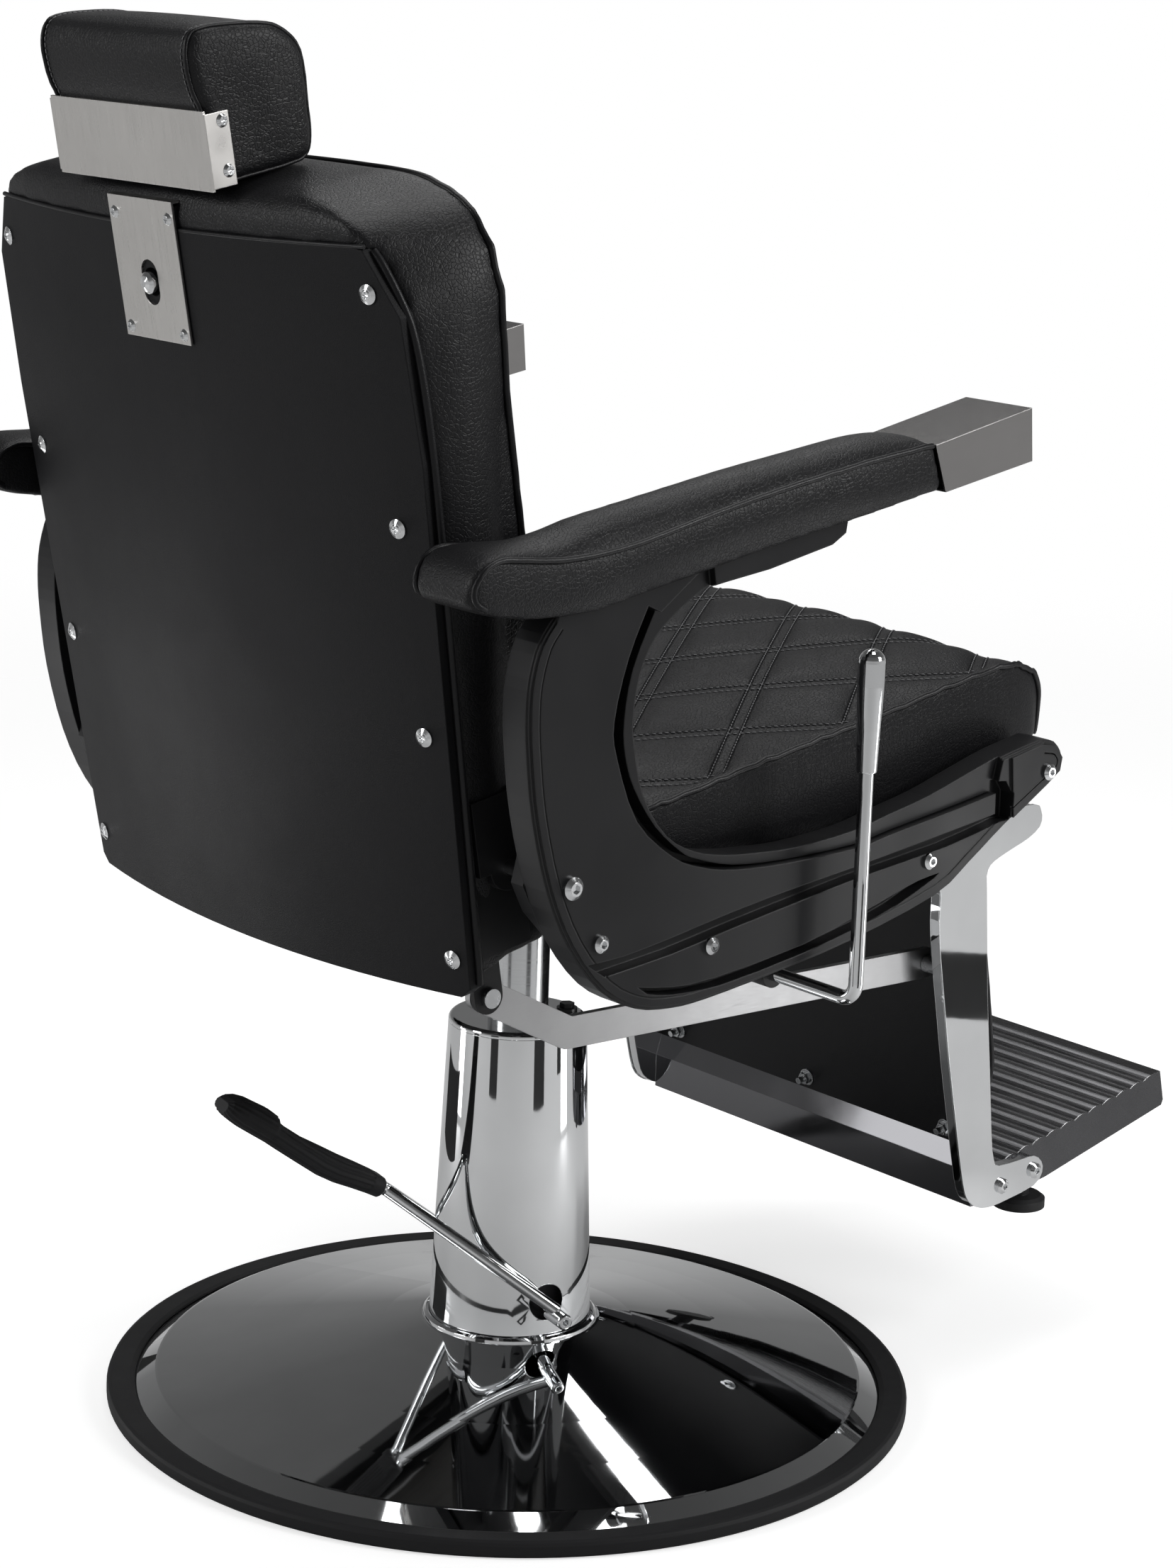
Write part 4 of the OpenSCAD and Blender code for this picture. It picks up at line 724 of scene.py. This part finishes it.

# Side panels: C-shaped aluminium castings with raised rims and sunk fields, coated black.
# Button head screws hold them on the ends of the rails; they carry the arms and the pivots of back and legs.
# its edges are painted paler, as a painted highlight along the rims
cast_black = finish("cast_black", (0.011, 0.011, 0.012), (0.3, 0.42), specular=0.26, edge_highlight_paint=0.045,
                    grain=("grit", {"Scale": 420.0}), bump=(0.08, 0.0003), edge=0.0017)
bright_screw = finish("bright_screw", (0.78, 0.79, 0.8), (0.08, 0.2), metallic=1.0, scale=120.0, edge=0.0004)
dress(cast_black, "side_panel_right", "side_panel_left")
dress(bright_screw, "panel_bolts")
dress(zinc_steel, "leg_hinge_pins")

# Arms: bolsters of vinyl over foam on wooden cores, with piping round the edges of their side panels.
# Folded caps of brushed steel close the front ends, and screws from below hold the cores on the panels.
ARM_X, ARM_SEAM, ARM_FACE, ARM_END = 315, 34.5, 37, 873
# share of the half width, of the side's height and of the crown at each point of a section
ARM_SHAPE = ((-0.9, 0, 0), (-1, 0.2, 0), (-1.02, 0.5, 0), (-1, 0.85, 0), (-0.96, 1, 0),
             (-0.7, 1, 0.6), (-0.35, 1, 0.92), (0, 1, 1), (0.35, 1, 0.92), (0.7, 1, 0.6),
             (0.96, 1, 0), (1, 0.85, 0), (1.02, 0.5, 0), (1, 0.2, 0), (0.9, 0, 0))
# y, upper edge, underside, half width, crown, skew of the section
arm_rows = smooth_rows(
    [[348.5, 802, 793, 27, 1, 0], [346, 808, 789, 31, 1.5, 0], [340, 816, 785, 33, 2, 0],
     [328, 822, 781, 33.5, 3, 0], [305, 822, 777, 33.5, 5, 0], [277, 819, 774, 33.5, 8, 0],
     [250, 818, 774, 33.5, 14, 0], [225, 819, 775, 33.5, 20, 0], [180, 826, 784, 33.5, 20, 0.05],
     [127, 837, 793.5, 33.5, 17, 0.1], [67, 849, 804.5, 33.5, 14, 0.16], [7, 858.5, 815, 33.5, 12, 0.23],
     [-53, 867, 825.5, 34, 11, 0.3], [-80, 870.5, 830.5, 34.5, 9, 0.32], [-100, 872.5, 834, 35, 6, 0.34],
     [-111.4, 872.5, 835.5, 35.6, 4, 0.35]], 5)


def arm_ring(row):
    """One section of the left arm's bolster."""
    y, edge, under, half, crown, skew = row
    out = []
    for a, b, c in ARM_SHAPE:
        z = under + b * (edge - under) + c * crown
        out.append((ARM_X + a * half, y - skew * (edge - z), z))
    return out


brushed_arm = finish("brushed_arm", (0.40, 0.39, 0.385), (0.14, 0.2), metallic=1.0, edge=0.0008,
                     grain=("brush_lines", {"Grain": (1900, 18, 1900), "Low": 0.13, "High": 0.2}),
                     bump=(0.05, 0.0001))
dress(brushed_arm, "arm_cap_right", "arm_cap_left")
dress(plywood, "arm_board_right", "arm_board_left")
dress(bright_screw, "arm_screws")
# y and z of the piped edge of each side panel
arm_edge = smooth_rows(
    [[336, 786], [345, 791], [349, 798], [348.5, 804], [344, 811.5], [338, 817.5], [328, 823],
     [316, 824], [290, 820.5], [263, 818.5], [230, 819.5], [196, 823.5], [161, 830.5], [126, 838],
     [91, 845], [55, 851.5], [18, 857.5], [-19, 863], [-57, 868], [-110, 873.5]], 4)
left_arm = stuff(skin("arm_cover_left", [arm_ring(r) for r in arm_rows], vinyl), 4.0, 3,
                 lambda p: p.y + 0.35 * (ARM_END - p.z) < -106 or p.z < 772,
                 [(ARM_X + s * ARM_SEAM, y, z) for y, z in arm_edge for s in (-1, 1)])
right_arm = bpy.data.objects.new("arm_cover_right", left_arm.data.copy())
scene.collection.objects.link(right_arm)
right_arm.data.transform(Matrix.Scale(-1, 4, (1, 0, 0)))
right_arm.data.flip_normals()
for side, label, cover in ((1, "left", left_arm), (-1, "right", right_arm)):
    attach(cover, "seat")
    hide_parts("arm_pad_" + label)
    under = surface(cover)
    for face, word in ((1, "outer"), (-1, "inner")):
        path = laid([(side * (ARM_X + face * ARM_FACE), y, z) for y, z in arm_edge], under, 1.9)
        piping(f"arm_piping_{label}_{word}", path, 2.3, "seat")

# Recline lever: a chrome rod, bent up beside the seat and pressed into a turned, tapered handle.
# It turns in a black bracket that is bolted under the seat frame.
dress(chrome, "lever_rod", "lever_handle")
dress(frame_black, "lever_bracket")

# Back: a crowned plywood board, covered in smooth vinyl and screwed through cup washers to the welded frame.
# The cushion wraps the frame from the front, with piping along both edges and a stuffed border on top.
# The whole back hangs on two pivot bolts in the side panels.
LEAN, BACK_Y = math.radians(10.29), 173
CROWN, CROWN_HALF = 28, 252
CROWN_R = (CROWN_HALF ** 2 + CROWN ** 2) / (2 * CROWN)


def leaned(x, n, w):
    """Point of the back in millimetres from its own axes: n is rearward, w goes up along the lean."""
    return (x, BACK_Y + n * math.cos(LEAN) + w * math.sin(LEAN), w * math.cos(LEAN) - n * math.sin(LEAN))


def crown(x):
    """How far the board's rear face bulges rearward at a distance from the middle line."""
    return CROWN - CROWN_R + math.sqrt(CROWN_R ** 2 - x * x)


board_vinyl = finish("board_vinyl", (0.008, 0.008, 0.009), (0.46, 0.58), specular=0.15, scale=4.0,
                     grain=("hide", {"Scale": 700.0, "Crease": 0.3}), bump=(0.2, 0.0003), edge=0.0015)
dress(board_vinyl, "back_board")
dress(frame_black, "back_frame")
dress(bright_screw, "back_screws", "back_hinge_pins")
# height along the lean, half width behind and in front, inset from the board, depth, bulge of the front
back_rows = smooth_rows(
    [[479, 240, 240, 16, -42, 0], [484, 243, 250, 14, -72, 1], [492, 245, 256, 13.4, -88, 3],
     [505, 246, 258, 13.4, -96, 5], [525, 247, 259, 13.4, -98, 6], [565, 249, 261, 13.4, -100, 7],
     [650, 253, 263, 13.4, -100, 8], [740, 257, 265, 13.4, -100, 9], [830, 261, 267, 13.4, -99, 9],
     [891, 263, 268, 13.4, -99, 8], [950, 261, 268, 13.4, -99, 7], [1000, 259, 266.5, 13.4, -98.5, 6],
     [1022, 250, 262, 13.4, -98, 5], [1040, 241, 255, 13.4, -98, 4]], 4)
back_top = smooth_rows(
    [[1050.6, 237, 248, 1.5, -98, 4], [1060, 229, 237, 1.5, -98, 4], [1068, 216, 220, 3, -98, 3],
     [1075, 198, 200, 7, -97, 2], [1080, 176, 178, 13, -94, 1], [1083.5, 158, 160, 26, -80, 0]], 3)


def back_ring(row):
    """One section of the back cushion, square to the lean."""
    w, rear, front, inset, deep, bulge = row
    behind = [leaned(i / 12 * rear, crown(i / 12 * rear) - inset, w) for i in range(-12, 13)]
    right = [leaned(rear + (front - rear) * t + 2 * math.sin(math.pi * t),
                    crown(rear) - inset + (deep + 3 - crown(rear) + inset) * t, w)
             for t in (0.12, 0.3, 0.5, 0.7, 0.88)]
    before = [leaned(i / 12 * front, deep + (3 if abs(i) == 12 else 0) - bulge * (1 - i * i / 144), w)
              for i in range(12, -13, -1)]
    return behind + right + before + [(-x, y, z) for x, y, z in reversed(right)]


def unlean(p):
    """(x, n, w) of a point in millimetres."""
    y, z = p.y - BACK_Y, p.z
    return p.x, y * math.cos(LEAN) - z * math.sin(LEAN), y * math.sin(LEAN) + z * math.cos(LEAN)


def back_held(p):
    """Whether a point of the cushion lies against the board, where the cloth pins it."""
    x, n, w = unlean(p)
    return (w < 1053 or abs(x) < 48) and n > crown(min(abs(x), 300)) - 19


def half_loop(table, per):
    """A whole seam from the rows of its left half, from the lower right up and over."""
    half = smooth_rows(table, per)
    return [leaned(-x, n, w) for x, n, w in half] + [leaned(x, n, w) for x, n, w in reversed(half)]


front_seam = half_loop(
    [[240, -90, 488], [256, -100, 497], [262, -101, 520], [266, -101, 650], [269, -101, 800],
     [271, -101, 891], [270, -101, 985], [266, -101, 1013], [258, -100, 1036], [244, -100, 1054],
     [222, -100, 1067], [192, -99, 1076], [150, -98, 1082], [90, -97, 1085], [0, -97, 1086]], 6)
back_piece = stuff(skin("back_cushion_cover", [back_ring(r) for r in back_rows + back_top], vinyl), 6.0, 9,
                   back_held, front_seam)
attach(back_piece, "back")
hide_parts("back_cushion")
back_skin = surface(back_piece)
piping("back_front_piping", laid(front_seam, back_skin, 1.4), 2.8, "back")
rear_seam = smooth_rows(
    [[236, 1046], [243, 1036], [254, 1014], [262.5, 990], [266.5, 950], [267, 891], [264, 800],
     [259.5, 690], [255.5, 600], [251, 500], [249.5, 480]], 6)
for side, label in ((-1, "right"), (1, "left")):
    path = [Vector(leaned(side * (x + 0.4), crown(x) - 9, w)) * MM for x, w in rear_seam]
    piping("back_rear_piping_" + label, path, 3.2, "back")
BORDER_HALF, BORDER_W = 236, 1050.2
rear_top = [leaned(i / 30 * BORDER_HALF, crown(i / 30 * BORDER_HALF) - 1.6, BORDER_W)
            for i in range(-30, 31)]
piping("back_border_seam", [Vector(p) * MM for p in rear_top], 1.8, "back")

# Head fitting: a brushed steel plate, held over the welded socket by four raised head screws.
# The button that frees the headrest post comes out through its oval slot.
brushed_plate = finish("brushed_plate", (0.66, 0.645, 0.625), (0.26, 0.4), metallic=1.0, edge=0.0008,
                       grain=("brush_lines", {"Grain": (2600, 25, 25), "Low": 0.26, "High": 0.42}),
                       bump=(0.08, 0.00015))
dress(brushed_plate, "head_plate")
dress(bright_screw, "head_plate_screws", "release_button")
dress(zinc_steel, "head_socket")

# Headrest: a stuffed block of vinyl over foam, its end panels joined by a corded, stitched seam.
# A folded bracket of brushed steel holds it from behind with two screws a side, and stands on the flat post.
dress(brushed_plate, "headrest_bracket")
dress(bright_screw, "headrest_screws")
dress(zinc_steel, "headrest_post")
# y and z round the block, as seen from the side
head_outline = smooth_rows(
    [[395, 1064.5], [399.5, 1093], [403.6, 1118], [411, 1131], [417, 1150], [418, 1166],
     [410, 1178], [379, 1182], [347, 1182.5], [330, 1177], [315, 1162], [308, 1122],
     [305, 1101], [308, 1086], [324, 1079.6], [360, 1072], [395, 1064.5]], 4)[:-1]
HEAD_Y, HEAD_Z = 362, 1122
HEAD_SEAM, HEAD_STITCH = 95, 89


def head_ring(x, scale):
    """The outline of the block at a distance from the middle line, scaled about its own middle."""
    return [(x, HEAD_Y + (y - HEAD_Y) * scale, HEAD_Z + (z - HEAD_Z) * scale) for y, z in head_outline]


# x and scale of each section
head_rows = [(-99.4, 0.88), (-98.6, 0.93), (-96.5, 0.967), (-92, 0.99), (-80, 1), (-40, 1.003), (0, 1.004),
             (40, 1.003), (80, 1), (92, 0.99), (96.5, 0.967), (98.6, 0.93), (99.4, 0.88)]


def head_held(p):
    """Whether a point of the block lies under the bracket's back or cheeks, where the cloth pins it."""
    x, n, w = unlean(p)
    return 1078 < w < 1152 and (n > 20 or (abs(x) > 92 and n > -14))


headrest = stuff(skin("headrest_cover", [head_ring(*r) for r in head_rows], vinyl), 4.0, 3, head_held,
                 [p for x in (-HEAD_SEAM, HEAD_SEAM) for p in head_ring(x, 0.985)])
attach(headrest, "headrest")
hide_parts("headrest_cushion")
head_skin = surface(headrest)
for side, label in ((-1, "right"), (1, "left")):
    ring = [head_skin.find_nearest(Vector(p) * MM)[0] for p in head_ring(side * HEAD_SEAM, 1.05)]
    seam = [at + (at - Vector((at.x, HEAD_Y * MM, HEAD_Z * MM))).normalized() * 0.6 * MM for at in ring]
    piping("headrest_seam_" + label, seam, 1.7, "headrest", closed=True)
    inner = [head_skin.find_nearest(Vector((side * HEAD_STITCH * MM, p.y, p.z)))[0] for p in ring]
    stitches("headrest_stitches_" + label, [inner + inner[:1]], head_skin, "headrest", pitch=4.6)

# Link: a flat bar of satin steel, bent in its plane, that lifts the leg rest as the back goes down.
# A clevis pin joins it to the ear of the back frame, and a shouldered stud to the leg.
satin_steel = finish("satin_steel", (0.38, 0.38, 0.385), (0.3, 0.42), metallic=1.0, scale=20.0,
                     grain=("brush_lines", {"Grain": (20, 60, 2200), "Low": 0.3, "High": 0.42}),
                     bump=(0.08, 0.00015))
dress(satin_steel, "link_bar")
dress(zinc_steel, "link_pin", "link_stud")

# Leg rest: two cast and chromed legs, joined by a folded chrome channel darkened with painted shade, and a
# black vinyl board.
# The piped calf pad is held on the front of the board by studs, washers and nuts.
cover_black = finish("cover_black", (0.005, 0.005, 0.006), (0.32, 0.42), specular=0.2, scale=5.0,
                     grain=("hide", {"Scale": 700.0, "Crease": 0.3}), bump=(0.12, 0.0003))
# painted shade and highlight: the channel's chrome is painted dark, and its edges are painted pale
chrome_painted_shade = finish("chrome_painted_shade", (0.17, 0.17, 0.178), (0.05, 0.12), metallic=1.0, edge=0.0009,
                     grain=("grit", {"Scale": 14.0}), bump=(0.05, 0.0012), edge_highlight_paint=0.3)
dress(chrome, "leg_casting_right", "leg_casting_left")
dress(chrome_painted_shade, "cross_channel")
dress(cover_black, "calf_board")
dress(zinc_steel, "calf_fixings")
dress(bright_screw, "foot_bolts")


CALF_SLOPE, CALF_BOARD, CALF_SEAM, CALF_HELD = 0.18, 13, 42, 19


def calf_y(z):
    """Where the rear face of the sloping calf board lies at a height."""
    return -355 + CALF_SLOPE * (z - 220)


# z, half width, depth, bulge of the front
calf_rows = smooth_rows(
    [[242, 187, 10, 0], [245, 195, 18, 1], [254, 199, 26, 2], [275, 201, 31, 3], [320, 201.5, 32, 4],
     [370, 201.5, 32, 4], [420, 201, 31, 3], [450, 199, 26, 2], [459, 195, 18, 1],
     [463, 187, 10, 0]], 4)


def calf_ring(row):
    """One level section of the calf pad."""
    z, half, deep, bulge = row
    back = calf_y(z) - CALF_BOARD
    side = [(half, back - deep * t, z) for t in (0.25, 0.5, 0.75)]
    front = [(i / 10 * (half - 2), back - deep - bulge * (1 - i * i / 100), z) for i in range(10, -11, -1)]
    rear = [(i / 10 * (half - 3), back, z) for i in range(-10, 11)]
    return rear + side + front + [(-x, y, z) for x, y, z in reversed(side)]


loop = smooth_rows([[0, 462], [150, 462], [183, 460], [197, 448], [201, 420], [202, 352],
                    [201, 284], [197, 256], [183, 244], [150, 242], [0, 242]], 5)
loop = [(x, calf_y(z) - CALF_SEAM, z) for x, z in loop]
loop += [(-x, y, z) for x, y, z in reversed(loop[1:-1])]
calf = stuff(skin("calf_pad_cover", [calf_ring(r) for r in calf_rows], vinyl), 5.0, 5,
             lambda p: p.y > calf_y(p.z) - CALF_HELD, loop)
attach(calf, "legrest")
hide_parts("calf_pad")
calf_skin = surface(calf)
piping("calf_piping", laid(loop, calf_skin, 0.8), 2.6, "legrest", closed=True)

# Footplate: an aluminium casting with rounded ridges, open underneath, bolted between the legs.
# Two rubber bumpers below it spare the floor when the legs hang down.
# painted shade and highlight: the footplate's metal is painted dark, and the edges of its ridges are painted
# pale
tread = finish("tread", (0.12, 0.12, 0.125), (0.2, 0.3), metallic=1.0, scale=30.0, edge_highlight_paint=0.25,
               grain=("brush_lines", {"Grain": (20, 900, 900), "Low": 0.18, "High": 0.3}),
               bump=(0.08, 0.0002), edge=0.0012)
dress(tread, "footplate")
dress(rubber, "foot_bumpers")

low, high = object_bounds()
